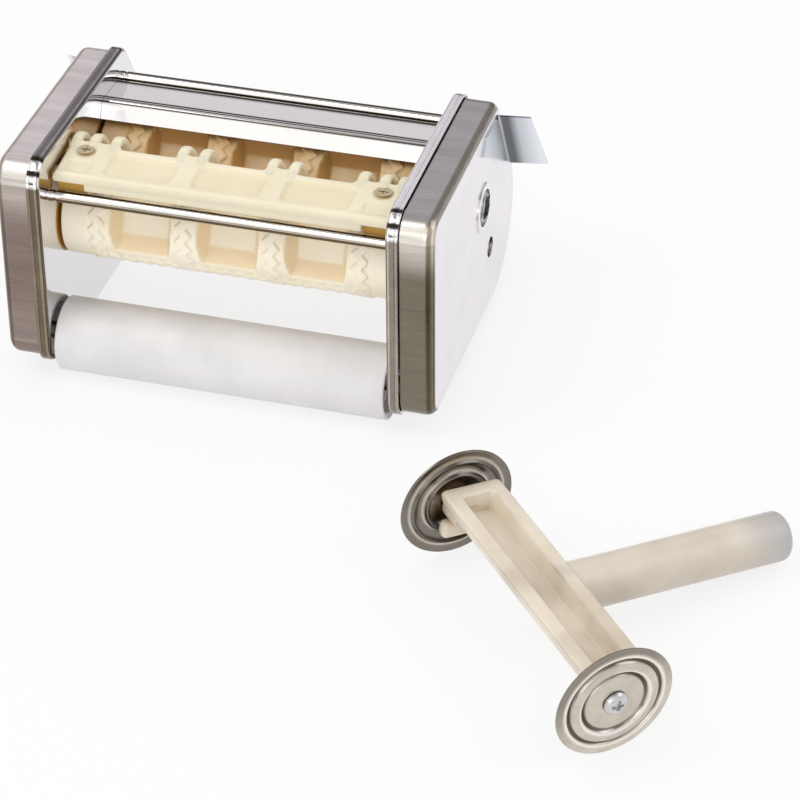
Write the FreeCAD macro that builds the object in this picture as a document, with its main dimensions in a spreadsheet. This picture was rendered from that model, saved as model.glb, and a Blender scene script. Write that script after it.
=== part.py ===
import FreeCAD, Part
import math
import os
import Sketcher

# Ravioli maker that clips on a pasta machine, with the loose twin wheel dough cutter that comes with it.
# Every machine piece is drawn upright in its own frame: X across the rollers, Y to the back, Z up,
# with the cheeks' flat undersides at Z = 0. The placement then leans the whole machine back onto
# its white guide roller and sets the origin in the mouth of the drive socket.

doc = FreeCAD.newDocument("ravioli_maker")
V = FreeCAD.Vector

# Driving dimensions, in millimetres and degrees
DIMENSIONS = [
    ("inner_half", 76.0), ("frame_depth", 5.6), ("sheet_t", 1.2), ("seam_gap", 0.3), ("cover_depth", 14.7),
    ("cover_sheet", 1.0), ("cover_round", 4.5), ("cover_round_in", 3.5), ("proud", 1.8), ("lip_gap", 0.3),
    ("front_cy", 10.0), ("front_low_cz", 10.0), ("front_top_cz", 89.2), ("front_r", 10.0),
    ("crest_cy", 103.6), ("crest_cz", 91.2), ("crest_r", 8.0), ("heel_cy", 100.0), ("heel_cz", 38.8),
    ("heel_r", 38.8), ("front_axis_y", 39.0), ("rear_axis_y", 82.5), ("axis_z", 59.5),
    ("drum_half", 74.4), ("drum_r", 20.4), ("band_r", 21.6), ("band_w", 7.0), ("band_pitch", 39.4),
    ("pocket_w", 28.2), ("pocket_floor", 11.0), ("floor_w", 20.6), ("floor_l", 13.0), ("wall_lean", 2.16),
    ("pocket_turn", 72.0), ("ridge_w", 6.0), ("ridge_top", 21.35), ("shaft_r", 5.0), ("drive_r", 6.0),
    ("bush_r", 8.0), ("bush_flange_r", 11.0), ("bush_flange_t", 2.0), ("run_gap", 0.05),
    ("socket_r", 5.0), ("socket_deep", 14.0), ("socket_head_r", 8.0), ("socket_mouth", 94.4),
    ("slot_w", 3.2), ("slot_deep", 4.0), ("ring_r", 10.75), ("ring_bore", 8.4), ("gear_t", 8.0),
    ("gear_x", -90.0), ("rod_r", 2.6), ("rod_y", 13.5), ("rod_z", 78.8), ("top_rod_y", 104.5),
    ("top_rod_z", 87.2), ("stub_r", 1.8), ("stub_end", 81.0), ("nut_r", 3.9), ("nut_t", 2.6),
    ("guide_y", 15.2), ("guide_z", 7.9), ("guide_r", 16.4), ("guide_half", 74.5), ("axle_r", 4.0),
    ("comb_half", 75.0), ("comb_screw_x", 66.3), ("comb_screw_y", 31.5), ("claw_w", 4.4),
    ("post_y", 94.2), ("post_z", 32.3), ("post_r", 4.0), ("cup_r", 4.75), ("cup_floor", 93.2),
    ("wing_t", 1.0), ("lean", 4.46),
    ("wheel_r", 25.3), ("wheel_half", 66.4), ("wheel_t", 0.8), ("wheel_bore", 3.1), ("bar_half", 62.0),
    ("bar_w", 27.0), ("bar_shift", 3.2), ("bar_top", 10.6), ("handle_r", 10.5), ("handle_l", 116.0),
    ("handle_bore", 7.5), ("trough_half", 53.5), ("trough_w", 12.6), ("trough_deep", 8.6), ("hub_r", 9.5),
    ("hub_end", 65.2), ("shank_r", 2.0), ("shoulder_r", 3.0), ("head_r", 5.2),
    ("cutter_x", 73.5), ("cutter_y", -198.3), ("cutter_turn", -47.87),
]
sheet = doc.addObject("Spreadsheet::Sheet", "dims")
v = {}
for row, (alias, number) in enumerate(DIMENSIONS, start=1):
    sheet.set("A%d" % row, alias)
    sheet.set("B%d" % row, str(number))
    sheet.setAlias("B%d" % row, alias)
    v[alias] = number
doc.recompute()


def bind(obj, prop, formula):
    """Tie one property of an object to a formula over the driving dimensions."""
    obj.setExpression(prop, formula)


def d(alias):
    """Name of a driving dimension inside a formula."""
    return "dims." + alias


# Placement of the machine: lean it back about the drive axis, then move the socket mouth to the origin
LEAN = math.radians(v["lean"])
lean_turn = FreeCAD.Rotation(V(1, 0, 0), -v["lean"])
socket_point = V(v["socket_mouth"], v["rear_axis_y"], v["axis_z"])
MACHINE = FreeCAD.Placement(lean_turn.multVec(socket_point) * -1.0, lean_turn)

# Height of the table under the guide roller, in the shared frame
guide_centre = MACHINE.multVec(V(0, v["guide_y"], v["guide_z"]))
TABLE_Z = guide_centre.z - v["guide_r"]

# Placement of the cutter: it stands on its two wheels and the end of its handle
CUTTER_SLOPE = math.degrees(math.asin((v["wheel_r"] - v["handle_r"]) / v["handle_l"]))
cutter_turn = FreeCAD.Rotation(V(0, 0, 1), v["cutter_turn"]).multiply(
    FreeCAD.Rotation(V(1, 0, 0), -CUTTER_SLOPE))
CUTTER = FreeCAD.Placement(V(v["cutter_x"], v["cutter_y"], TABLE_Z + v["wheel_r"]), cutter_turn)


def new_body(name):
    """One PartDesign body."""
    return doc.addObject("PartDesign::Body", name)


def new_sketch(body, plane, name, offset):
    """A sketch on one of the body's own origin planes, set off along its normal by a formula."""
    sk = body.newObject("Sketcher::SketchObject", name)
    for feature in body.Origin.OriginFeatures:
        if feature.Role == plane:
            sk.AttachmentSupport = [(feature, "")]
    sk.MapMode = "FlatFace"
    bind(sk, "AttachmentOffset.Base.z", offset)
    return sk


def add_circle(sk, cx, cy, radius, cx_formula, cy_formula, r_formula):
    """A circle held by its centre and radius."""
    i = sk.addGeometry(Part.Circle(V(cx, cy, 0), V(0, 0, 1), radius), False)
    for kind, value, formula in (("DistanceX", cx, cx_formula), ("DistanceY", cy, cy_formula)):
        c = sk.addConstraint(Sketcher.Constraint(kind, -1, 1, i, 3, value))
        bind(sk, "Constraints[%d]" % c, formula)
    c = sk.addConstraint(Sketcher.Constraint("Radius", i, radius))
    bind(sk, "Constraints[%d]" % c, r_formula)
    return i


def add_polygon(sk, points):
    """A closed run of straight lines; a corner is (x, y) or carries formulas as (x, y, fx, fy)."""
    first = sk.GeometryCount
    n = len(points)
    for k in range(n):
        a = points[k]
        b = points[(k + 1) % n]
        sk.addGeometry(Part.LineSegment(V(a[0], a[1], 0), V(b[0], b[1], 0)), False)
    for k in range(n):
        sk.addConstraint(Sketcher.Constraint("Coincident", first + k, 2, first + (k + 1) % n, 1))
    for k in range(n):
        p = points[k]
        cx = sk.addConstraint(Sketcher.Constraint("DistanceX", -1, 1, first + k, 1, p[0]))
        cy = sk.addConstraint(Sketcher.Constraint("DistanceY", -1, 1, first + k, 1, p[1]))
        if len(p) == 4:
            bind(sk, "Constraints[%d]" % cx, p[2])
            bind(sk, "Constraints[%d]" % cy, p[3])


CHEEK = [("front_cy", "front_low_cz", "front_r"), ("heel_cy", "heel_cz", "heel_r"),
         ("crest_cy", "crest_cz", "crest_r"), ("front_cy", "front_top_cz", "front_r")]


def add_cheek(sk, grow, grow_formula):
    """The cheek's outline: four round corners joined by tangent lines, grown outward by a set amount."""
    centres = [(v[a], v[b]) for a, b, c in CHEEK]
    radii = [v[c] + grow for a, b, c in CHEEK]
    n = len(CHEEK)
    touch = []
    for k in range(n):
        (x0, y0), r0 = centres[k], radii[k]
        (x1, y1), r1 = centres[(k + 1) % n], radii[(k + 1) % n]
        span = math.hypot(x1 - x0, y1 - y0)
        heading = math.atan2(y1 - y0, x1 - x0)
        normal = heading - math.acos((r0 - r1) / span)
        p = V(x0 + r0 * math.cos(normal), y0 + r0 * math.sin(normal), 0)
        q = V(x1 + r1 * math.cos(normal), y1 + r1 * math.sin(normal), 0)
        touch.append((normal, p, q))
    first = sk.GeometryCount
    for k in range(n):
        start = touch[k - 1][0]
        end = touch[k][0]
        while end < start:
            end += 2 * math.pi
        circle = Part.Circle(V(centres[k][0], centres[k][1], 0), V(0, 0, 1), radii[k])
        sk.addGeometry(Part.ArcOfCircle(circle, start, end), False)
        sk.addGeometry(Part.LineSegment(touch[k][1], touch[k][2]), False)
    for k in range(n):
        arc = first + 2 * k
        line = arc + 1
        following = first + 2 * ((k + 1) % n)
        sk.addConstraint(Sketcher.Constraint("Tangent", arc, 2, line, 1))
        sk.addConstraint(Sketcher.Constraint("Tangent", line, 2, following, 1))
    for k, (a, b, c) in enumerate(CHEEK):
        arc = first + 2 * k
        i = sk.addConstraint(Sketcher.Constraint("DistanceX", -1, 1, arc, 3, v[a]))
        bind(sk, "Constraints[%d]" % i, d(a))
        i = sk.addConstraint(Sketcher.Constraint("DistanceY", -1, 1, arc, 3, v[b]))
        bind(sk, "Constraints[%d]" % i, d(b))
        i = sk.addConstraint(Sketcher.Constraint("Radius", arc, radii[k]))
        bind(sk, "Constraints[%d]" % i, d(c) + " " + grow_formula)


def pad(body, sk, name, length, reverse=False):
    """Raise a sketch by a length; reversed, it grows against the plane's normal."""
    f = body.newObject("PartDesign::Pad", name)
    f.Profile = sk
    f.Reversed = reverse
    bind(f, "Length", length)
    sk.Visibility = False
    doc.recompute()
    return f


def pocket(body, sk, name, length, reverse=True):
    """Sink a sketch by a length; reversed, it cuts along the plane's normal."""
    f = body.newObject("PartDesign::Pocket", name)
    f.Profile = sk
    f.Reversed = reverse
    bind(f, "Length", length)
    sk.Visibility = False
    doc.recompute()
    return f


def revolve(body, sk, name):
    """Turn a sketch a full turn about its own horizontal axis."""
    f = body.newObject("PartDesign::Revolution", name)
    f.Profile = sk
    f.ReferenceAxis = (sk, ["H_Axis"])
    f.Angle = 360.0
    sk.Visibility = False
    doc.recompute()
    return f


def edges_at(shape, x):
    """Names of the edges that lie wholly in the plane at this X."""
    names = []
    for k, edge in enumerate(shape.Edges, start=1):
        box = edge.BoundBox
        if abs(box.XMin - x) < 1e-4 and abs(box.XMax - x) < 1e-4:
            names.append("Edge%d" % k)
    return names


def round_edges(body, base, name, x, radius):
    """Fillet every edge of a feature that lies in one plane across X."""
    f = body.newObject("PartDesign::Fillet", name)
    f.Base = (base, edges_at(base.Shape, x))
    bind(f, "Radius", radius)
    doc.recompute()
    return f


def cylinder(name, x0, y, z, radius, length):
    """A round bar along X; every number is a formula."""
    c = doc.addObject("Part::Cylinder", name)
    c.Placement = FreeCAD.Placement(V(0, 0, 0), FreeCAD.Rotation(V(0, 1, 0), 90))
    bind(c, "Placement.Base.x", x0)
    bind(c, "Placement.Base.y", y)
    bind(c, "Placement.Base.z", z)
    bind(c, "Radius", radius)
    bind(c, "Height", length)
    return c


def box(name, x0, y0, z0, lx, ly, lz):
    """A straight block; every number is a formula."""
    b = doc.addObject("Part::Box", name)
    bind(b, "Placement.Base.x", x0)
    bind(b, "Placement.Base.y", y0)
    bind(b, "Placement.Base.z", z0)
    bind(b, "Length", lx)
    bind(b, "Width", ly)
    bind(b, "Height", lz)
    return b


def fuse(name, shapes):
    """Join several solids."""
    f = doc.addObject("Part::MultiFuse", name)
    f.Shapes = shapes
    return f


def cut(name, base, tool):
    """Take one solid away from another."""
    f = doc.addObject("Part::Cut", name)
    f.Base = base
    f.Tool = tool
    return f


NODES = []


def finish(obj, label, placement):
    """Name a finished piece and set it in the shared frame."""
    obj.Label = label
    obj.Placement = placement
    NODES.append(obj)
    return obj


SIDES = (("left", -1), ("right", 1))

# Side frames: pressed trays whose flat plate faces the rollers
for side, s in SIDES:
    b = new_body(side + "_side_frame_body")
    sk = new_sketch(b, "YZ_Plane", side + "_frame_outline", "%d * dims.inner_half" % s)
    add_cheek(sk, v["proud"], "+ dims.proud")
    pad(b, sk, side + "_frame_pad", d("frame_depth"), s < 0)
    sk = new_sketch(b, "YZ_Plane", side + "_frame_inside", "%d * (dims.inner_half + dims.sheet_t)" % s)
    add_cheek(sk, v["proud"] - v["sheet_t"], "+ dims.proud - dims.sheet_t")
    pocket(b, sk, side + "_frame_pocket", "dims.frame_depth - dims.sheet_t", s > 0)
    sk = new_sketch(b, "YZ_Plane", side + "_frame_holes", "%d * dims.inner_half" % s)
    add_circle(sk, v["front_axis_y"], v["axis_z"], v["bush_r"], d("front_axis_y"), d("axis_z"), d("bush_r"))
    add_circle(sk, v["rear_axis_y"], v["axis_z"], v["bush_r"], d("rear_axis_y"), d("axis_z"), d("bush_r"))
    add_circle(sk, v["rod_y"], v["rod_z"], v["stub_r"], d("rod_y"), d("rod_z"), d("stub_r"))
    add_circle(sk, v["top_rod_y"], v["top_rod_z"], v["stub_r"], d("top_rod_y"), d("top_rod_z"), d("stub_r"))
    add_circle(sk, v["guide_y"], v["guide_z"], v["stub_r"], d("guide_y"), d("guide_z"), d("stub_r"))
    pocket(b, sk, side + "_frame_drill", d("sheet_t"), s > 0)
    finish(b, side + "_side_frame", MACHINE)

# End covers: hollow brushed steel caps with a rounded outer edge and a dimple for the cover screw
FACE = v["inner_half"] + v["frame_depth"] + v["seam_gap"] + v["cover_depth"]
FACE_FORMULA = "dims.inner_half + dims.frame_depth + dims.seam_gap + dims.cover_depth"
for side, s in SIDES:
    mouth = "%d * (dims.inner_half + dims.frame_depth + dims.seam_gap)" % s
    outside = new_body(side + "_cover_outside_body")
    sk = new_sketch(outside, "YZ_Plane", side + "_cover_outline", mouth)
    add_cheek(sk, 0.0, "+ 0")
    base = pad(outside, sk, side + "_cover_pad", d("cover_depth"), s < 0)
    round_edges(outside, base, side + "_cover_round", s * FACE, d("cover_round"))
    core = new_body(side + "_cover_core_body")
    sk = new_sketch(core, "YZ_Plane", side + "_cover_inside", mouth)
    add_cheek(sk, -v["cover_sheet"], "- dims.cover_sheet")
    base = pad(core, sk, side + "_core_pad", "dims.cover_depth - dims.cover_sheet", s < 0)
    round_edges(core, base, side + "_core_round", s * (FACE - v["cover_sheet"]), d("cover_round_in"))
    shell = cut(side + "_cover_shell", outside, core)
    x_cup = "dims.cup_floor - dims.cover_sheet" if s > 0 else "-(%s)" % FACE_FORMULA
    cup = cylinder(side + "_cup", x_cup, d("post_y"), d("post_z"), "dims.cup_r + dims.cover_sheet",
                   FACE_FORMULA + " - dims.cup_floor + dims.cover_sheet")
    x_dish = "dims.cup_floor" if s > 0 else "-dims.cup_floor - 6"
    x_drill = "dims.cup_floor - 2" if s > 0 else "-dims.cup_floor - 2"
    tools = [cylinder(side + "_cup_dish", x_dish, d("post_y"), d("post_z"), d("cup_r"), "6"),
             cylinder(side + "_cup_drill", x_drill, d("post_y"), d("post_z"), "dims.stub_r + 0.2", "4")]
    if s > 0:
        tools.append(cylinder("drive_hole", "dims.cup_floor", d("rear_axis_y"), d("axis_z"), d("ring_r"), "6"))
    solid = fuse(side + "_cover_solid", [shell, cup])
    finish(cut(side + "_cover_drilled", solid, fuse(side + "_cover_tools", tools)), side + "_end_cover", MACHINE)

# Moulded drums: a core with a raised rib round it and along it between the three rows of three pockets.
# The pockets of the two drums are mirror images, so that they face each other where the drums meet.
wall_top = v["band_r"] + 2
wall_rise = wall_top - v["pocket_floor"]
side_lean = (v["pocket_w"] - v["floor_w"]) / 2 / (v["drum_r"] - v["pocket_floor"])
for end, hand in (("front", 1), ("rear", -1)):
    y = d(end + "_axis_y")
    shaft = "shaft_r" if end == "front" else "drive_r"
    centre = V(0, v[end + "_axis_y"], v["axis_z"])
    solids = [cylinder(end + "_drum_core", "-dims.drum_half", y, d("axis_z"), d("drum_r"), "2 * dims.drum_half")]
    for k, place in enumerate((-1.5, -0.5, 0.5, 1.5)):
        x0 = "%.1f * dims.band_pitch - dims.band_w / 2" % place
        solids.append(cylinder("%s_band_%d" % (end, k), x0, y, d("axis_z"), d("band_r"), d("band_w")))
    for k, s in SIDES:
        x0 = "-dims.drum_half" if s < 0 else "1.5 * dims.band_pitch + dims.band_w / 2"
        run = "dims.drum_half - 1.5 * dims.band_pitch - dims.band_w / 2"
        solids.append(cylinder("%s_%s_collar" % (end, k), x0, y, d("axis_z"), "dims.band_r - 0.6", run))
    hollows = []
    for turn in (0, 120, 240):
        ridge = doc.addObject("Part::Box", "%s_ridge_%d" % (end, turn))
        bind(ridge, "Length", "3 * dims.band_pitch")
        bind(ridge, "Width", d("ridge_w"))
        bind(ridge, "Height", "dims.ridge_top - dims.pocket_floor")
        rot = FreeCAD.Rotation(V(1, 0, 0), hand * v["pocket_turn"] + turn + 60)
        corner = V(-1.5 * v["band_pitch"], -v["ridge_w"] / 2, v["pocket_floor"])
        ridge.Placement = FreeCAD.Placement(centre + rot.multVec(corner), rot)
        solids.append(ridge)
        rot = FreeCAD.Rotation(V(1, 0, 0), hand * v["pocket_turn"] + turn + 90)
        for k in (-1, 0, 1):
            hollow = doc.addObject("Part::Wedge", "%s_pocket_%d_%d" % (end, turn, k + 1))
            hollow.Ymin = v["pocket_floor"]
            hollow.Ymax = wall_top
            hollow.Xmin = -v["floor_w"] / 2
            hollow.Xmax = v["floor_w"] / 2
            hollow.Zmin = -v["floor_l"] / 2
            hollow.Zmax = v["floor_l"] / 2
            hollow.X2min = hollow.Xmin.Value - wall_rise * side_lean
            hollow.X2max = hollow.Xmax.Value + wall_rise * side_lean
            hollow.Z2min = hollow.Zmin.Value - wall_rise * v["wall_lean"]
            hollow.Z2max = hollow.Zmax.Value + wall_rise * v["wall_lean"]
            hollow.Placement = FreeCAD.Placement(centre + V(k * v["band_pitch"], 0, 0), rot)
            hollows.append(hollow)
    drum = cut(end + "_drum_cut", fuse(end + "_drum_solid", solids), fuse(end + "_pockets", hollows))
    bore = cylinder(end + "_drum_bore", "-dims.drum_half - 1", y, d("axis_z"), d(shaft),
                    "2 * dims.drum_half + 2")
    finish(cut(end + "_roller_cut", drum, bore), end + "_roller", MACHINE)

# Front shaft: plain ground bar that carries the front drum and its gear
bar = cylinder("front_shaft_bar", "dims.gear_x - 2.6", d("front_axis_y"), d("axis_z"), d("shaft_r"),
               "83.4 - dims.gear_x")
nose = cylinder("front_shaft_nose", "80.8", d("front_axis_y"), d("axis_z"), "dims.shaft_r - 0.6", "0.8")
finish(fuse("front_shaft_solid", [bar, nose]), "front_roller_shaft", MACHINE)

# Drive shaft: thicker bar that ends in the recessed socket head for the crank
b = new_body("rear_drive_shaft_body")
sk = new_sketch(b, "XZ_Plane", "drive_shaft_profile", "-dims.rear_axis_y")
left = v["gear_x"] - 2.6
add_polygon(sk, [
    (left, v["axis_z"], "dims.gear_x - 2.6", d("axis_z")),
    (left, v["axis_z"] + v["drive_r"], "dims.gear_x - 2.6", "dims.axis_z + dims.drive_r"),
    (79.8, v["axis_z"] + v["drive_r"], "79.8", "dims.axis_z + dims.drive_r"),
    (79.8, v["axis_z"] + v["socket_head_r"], "79.8", "dims.axis_z + dims.socket_head_r"),
    (v["socket_mouth"], v["axis_z"] + v["socket_head_r"], d("socket_mouth"), "dims.axis_z + dims.socket_head_r"),
    (v["socket_mouth"], v["axis_z"] + v["socket_r"], d("socket_mouth"), "dims.axis_z + dims.socket_r"),
    (v["socket_mouth"] - v["socket_deep"], v["axis_z"] + v["socket_r"],
     "dims.socket_mouth - dims.socket_deep", "dims.axis_z + dims.socket_r"),
    (v["socket_mouth"] - v["socket_deep"], v["axis_z"], "dims.socket_mouth - dims.socket_deep", d("axis_z")),
])
axis_line = sk.addGeometry(Part.LineSegment(V(-100, v["axis_z"], 0), V(100, v["axis_z"], 0)), True)
sk.addConstraint(Sketcher.Constraint("Horizontal", axis_line))
i = sk.addConstraint(Sketcher.Constraint("DistanceY", -1, 1, axis_line, 1, v["axis_z"]))
bind(sk, "Constraints[%d]" % i, d("axis_z"))
sk.addConstraint(Sketcher.Constraint("DistanceX", -1, 1, axis_line, 1, -100.0))
sk.addConstraint(Sketcher.Constraint("DistanceX", -1, 1, axis_line, 2, 100.0))
turned = b.newObject("PartDesign::Revolution", "drive_shaft_turned")
turned.Profile = sk
turned.ReferenceAxis = (sk, ["Axis0"])
turned.Angle = 360.0
sk.Visibility = False
doc.recompute()
sk = new_sketch(b, "YZ_Plane", "socket_slot_outline", "dims.socket_mouth - dims.slot_deep")
half_w = v["slot_w"] / 2
reach = v["socket_head_r"] + 1
cy = v["rear_axis_y"]
cz = v["axis_z"]
add_polygon(sk, [
    (cy - half_w, cz - reach, "dims.rear_axis_y - dims.slot_w / 2", "dims.axis_z - dims.socket_head_r - 1"),
    (cy + half_w, cz - reach, "dims.rear_axis_y + dims.slot_w / 2", "dims.axis_z - dims.socket_head_r - 1"),
    (cy + half_w, cz + reach, "dims.rear_axis_y + dims.slot_w / 2", "dims.axis_z + dims.socket_head_r + 1"),
    (cy - half_w, cz + reach, "dims.rear_axis_y - dims.slot_w / 2", "dims.axis_z + dims.socket_head_r + 1"),
])
pocket(b, sk, "socket_slot", d("slot_deep"), True)
finish(b, "rear_drive_shaft", MACHINE)


def involute_gear(teeth, module, slack):
    """Closed outline of a spur gear with one tooth on the +Y side, as points about the centre."""
    pitch_r = teeth * module / 2
    base_r = pitch_r * math.cos(math.radians(20))
    tip_r = pitch_r + 0.9 * module
    root_r = pitch_r - 1.2 * module
    half_pitch = math.pi / (2 * teeth) - slack / (2 * pitch_r)
    inv_pitch = math.tan(math.radians(20)) - math.radians(20)
    points = []
    for k in range(teeth):
        middle = 2 * math.pi * k / teeth
        flank = []
        for step in range(6):
            r = max(base_r, root_r) + (tip_r - max(base_r, root_r)) * step / 5
            alpha = math.acos(min(1.0, base_r / r))
            half = half_pitch + inv_pitch - (math.tan(alpha) - alpha)
            flank.append((r, half))
        root_half = flank[0][1]
        points.append((root_r, middle - root_half))
        points.extend((r, middle - h) for r, h in flank)
        points.extend((r, middle + h) for r, h in reversed(flank))
        points.append((root_r, middle + root_half))
    return [V(0, r * math.cos(t), r * math.sin(t)) for r, t in points]


# Equal gears that tie the two rollers, inside the left cover
for end, shaft in (("front", "shaft_r"), ("rear", "drive_r")):
    ring = involute_gear(29, 1.5, 0.3)
    centre = V(v["gear_x"], v[end + "_axis_y"], v["axis_z"])
    outline = doc.addObject("Part::Feature", end + "_gear_outline")
    outline.Shape = Part.makePolygon([centre + p for p in ring + ring[:1]])
    outline.Visibility = False
    blank = doc.addObject("Part::Extrusion", end + "_gear_blank")
    blank.Base = outline
    blank.DirMode = "Custom"
    blank.Dir = V(1, 0, 0)
    blank.Solid = True
    bind(blank, "LengthFwd", d("gear_t"))
    bore = cylinder(end + "_gear_bore", "dims.gear_x - 1", d(end + "_axis_y"), d("axis_z"), d(shaft),
                    "dims.gear_t + 2")
    finish(cut(end + "_gear_cut", blank, bore), end + "_gear", MACHINE)

# Retaining rings that keep the shafts from sliding
clips = []
for name, x0, end, shaft in (("front_left_clip", "dims.gear_x - 1.2", "front", "shaft_r"),
                             ("front_right_clip", "79.5", "front", "shaft_r"),
                             ("rear_left_clip", "dims.gear_x - 1.2", "rear", "drive_r")):
    outside = cylinder(name + "_outside", x0, d(end + "_axis_y"), d("axis_z"), "dims.%s + 2.4" % shaft, "1")
    inside = cylinder(name + "_inside", x0 + " - 1", d(end + "_axis_y"), d("axis_z"), d(shaft), "3")
    clips.append(cut(name, outside, inside))
finish(fuse("front_shaft_clips_group", clips[:2]), "front_shaft_clips", MACHINE)
finish(clips[2], "rear_shaft_clip", MACHINE)

# Flanged bushes in the side frames, one pair on each side
for side, s in SIDES:
    pair = []
    for end, shaft in (("front", "shaft_r"), ("rear", "drive_r")):
        tag = "%s_%s_bush" % (side, end)
        y = d(end + "_axis_y")
        x_in = "dims.inner_half - 0.4" if s > 0 else "-dims.inner_half - dims.sheet_t"
        x_fl = "dims.inner_half + dims.sheet_t" if s > 0 else "-dims.inner_half - dims.sheet_t - 2"
        barrel = cylinder(tag + "_barrel", x_in, y, d("axis_z"), d("bush_r"), "dims.sheet_t + 0.4")
        flange = cylinder(tag + "_flange", x_fl, y, d("axis_z"), d("bush_flange_r"), d("bush_flange_t"))
        both = fuse(tag + "_both", [barrel, flange])
        bore = cylinder(tag + "_bore", "%d * dims.inner_half - 8" % s, y, d("axis_z"),
                        "dims.%s + dims.run_gap" % shaft, "16")
        pair.append(cut(tag, both, bore))
    finish(fuse(side + "_bushes_group", pair), side + "_roller_bushes", MACHINE)

# Chromed ring around the drive socket
ring_out = cylinder("drive_ring_outside", "89.6", d("rear_axis_y"), d("axis_z"), d("ring_r"), "7.6")
ring_lip = cylinder("drive_ring_lip", "96.6", d("rear_axis_y"), d("axis_z"), "dims.ring_r + 0.6", "0.6")
ring_back = cylinder("drive_ring_back", "93.8", d("rear_axis_y"), d("axis_z"), "dims.ring_r + 1.4", "1.8")
ring_all = fuse("drive_ring_solid", [ring_out, ring_lip, ring_back])
ring_bore = cylinder("drive_ring_bore", "88", d("rear_axis_y"), d("axis_z"), d("ring_bore"), "12")
finish(cut("drive_ring_cut", ring_all, ring_bore), "drive_ring", MACHINE)

# Chromed tie rods and the guide roller's axle: shouldered bars with threaded ends
for name, y, z, radius in (("front_tie_rod", "rod_y", "rod_z", "rod_r"),
                           ("top_tie_rod", "top_rod_y", "top_rod_z", "rod_r"),
                           ("guide_roller_axle", "guide_y", "guide_z", "axle_r")):
    bar = cylinder(name + "_bar", "-dims.inner_half", d(y), d(z), d(radius), "2 * dims.inner_half")
    stub = cylinder(name + "_stub", "-dims.stub_end", d(y), d(z), d("stub_r"), "2 * dims.stub_end")
    finish(fuse(name + "_solid", [bar, stub]), name, MACHINE)

# Hexagon nuts on the six threaded ends
nuts = []
for rod, y, z in (("front", "rod_y", "rod_z"), ("top", "top_rod_y", "top_rod_z"), ("guide", "guide_y", "guide_z")):
    for side, s in SIDES:
        prism = doc.addObject("Part::Prism", "%s_%s_nut_prism" % (rod, side))
        prism.Polygon = 6
        prism.Placement = FreeCAD.Placement(V(0, 0, 0), FreeCAD.Rotation(V(0, 1, 0), 90))
        bind(prism, "Circumradius", d("nut_r"))
        bind(prism, "Height", d("nut_t"))
        x0 = "dims.inner_half + dims.sheet_t" if s > 0 else "-dims.inner_half - dims.sheet_t - dims.nut_t"
        bind(prism, "Placement.Base.x", x0)
        bind(prism, "Placement.Base.y", d(y))
        bind(prism, "Placement.Base.z", d(z))
        hole = cylinder("%s_%s_nut_hole" % (rod, side), x0 + " - 1", d(y), d(z), d("stub_r"), "dims.nut_t + 2")
        nuts.append(cut("%s_%s_nut" % (rod, side), prism, hole))
finish(fuse("rod_nuts_group", nuts), "rod_nuts", MACHINE)

# White guide roller
outside = new_body("guide_roller_body")
sk = new_sketch(outside, "YZ_Plane", "guide_outline", "-dims.guide_half")
add_circle(sk, v["guide_y"], v["guide_z"], v["guide_r"], d("guide_y"), d("guide_z"), d("guide_r"))
add_circle(sk, v["guide_y"], v["guide_z"], v["axle_r"] + v["run_gap"], d("guide_y"), d("guide_z"),
           "dims.axle_r + dims.run_gap")
base = pad(outside, sk, "guide_pad", "2 * dims.guide_half")
rims = []
for k, edge in enumerate(base.Shape.Edges, start=1):
    if edge.BoundBox.XLength < 1e-6 and edge.BoundBox.ZLength > 30:
        rims.append("Edge%d" % k)
chamfer = outside.newObject("PartDesign::Chamfer", "guide_chamfer")
chamfer.Base = (base, rims)
chamfer.Size = 1.0
doc.recompute()
finish(outside, "guide_roller", MACHINE)

# Bent chromed sheet over the rear roller
b = new_body("rear_cover_sheet_body")
sk = new_sketch(b, "YZ_Plane", "rear_sheet_profile", "-dims.inner_half")
add_polygon(sk, [(74.2, 82.0), (75.2, 82.0), (77.4, 87.4), (78.8, 88.8), (81.0, 88.9), (99.6, 87.8), (101.0, 84.0),
                 (102.0, 84.3), (100.4, 88.8), (81.0, 89.9), (78.2, 90.4), (76.4, 88.8), (76.2, 87.4)])
pad(b, sk, "rear_sheet_pad", "2 * dims.inner_half")
finish(b, "rear_cover_sheet", MACHINE)

# Dough comb: ribbed plate with a front skirt and hooked fingers that reach down behind the front roller
b = new_body("comb_plate_body")
sk = new_sketch(b, "YZ_Plane", "comb_plate_profile", "-dims.comb_half")
add_polygon(sk, [(13.4, 86.2), (16.6, 86.2), (16.8, 87.2), (33.6, 88.8), (36.6, 89.2), (36.8, 92.6), (34.0, 93.2),
                 (15.2, 90.9), (13.2, 90.2), (12.8, 88.6)])
pad(b, sk, "comb_plate_pad", "2 * dims.comb_half")
for k in (-1, 0, 1):
    sk = new_sketch(b, "XY_Plane", "comb_panel_%d" % (k + 1), "89.4")
    x0 = k * v["band_pitch"] - 15.0
    x1 = k * v["band_pitch"] + 15.5
    add_polygon(sk, [(x0, 17.2), (x1, 17.2), (x1, 25.0), (x0, 25.0)])
    pocket(b, sk, "comb_recess_low_%d" % (k + 1), "6")
    sk = new_sketch(b, "XY_Plane", "comb_panel_back_%d" % (k + 1), "90.2")
    add_polygon(sk, [(x0, 25.0), (x1, 25.0), (x1, 32.6), (x0, 32.6)])
    pocket(b, sk, "comb_recess_high_%d" % (k + 1), "6")
skirt = box("comb_skirt", "-61.5", "14.4", "82.2", "123", "2.0", "5.4")
band = new_body("comb_finger_band")
sk = new_sketch(band, "YZ_Plane", "finger_profile", "-dims.comb_half")
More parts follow.
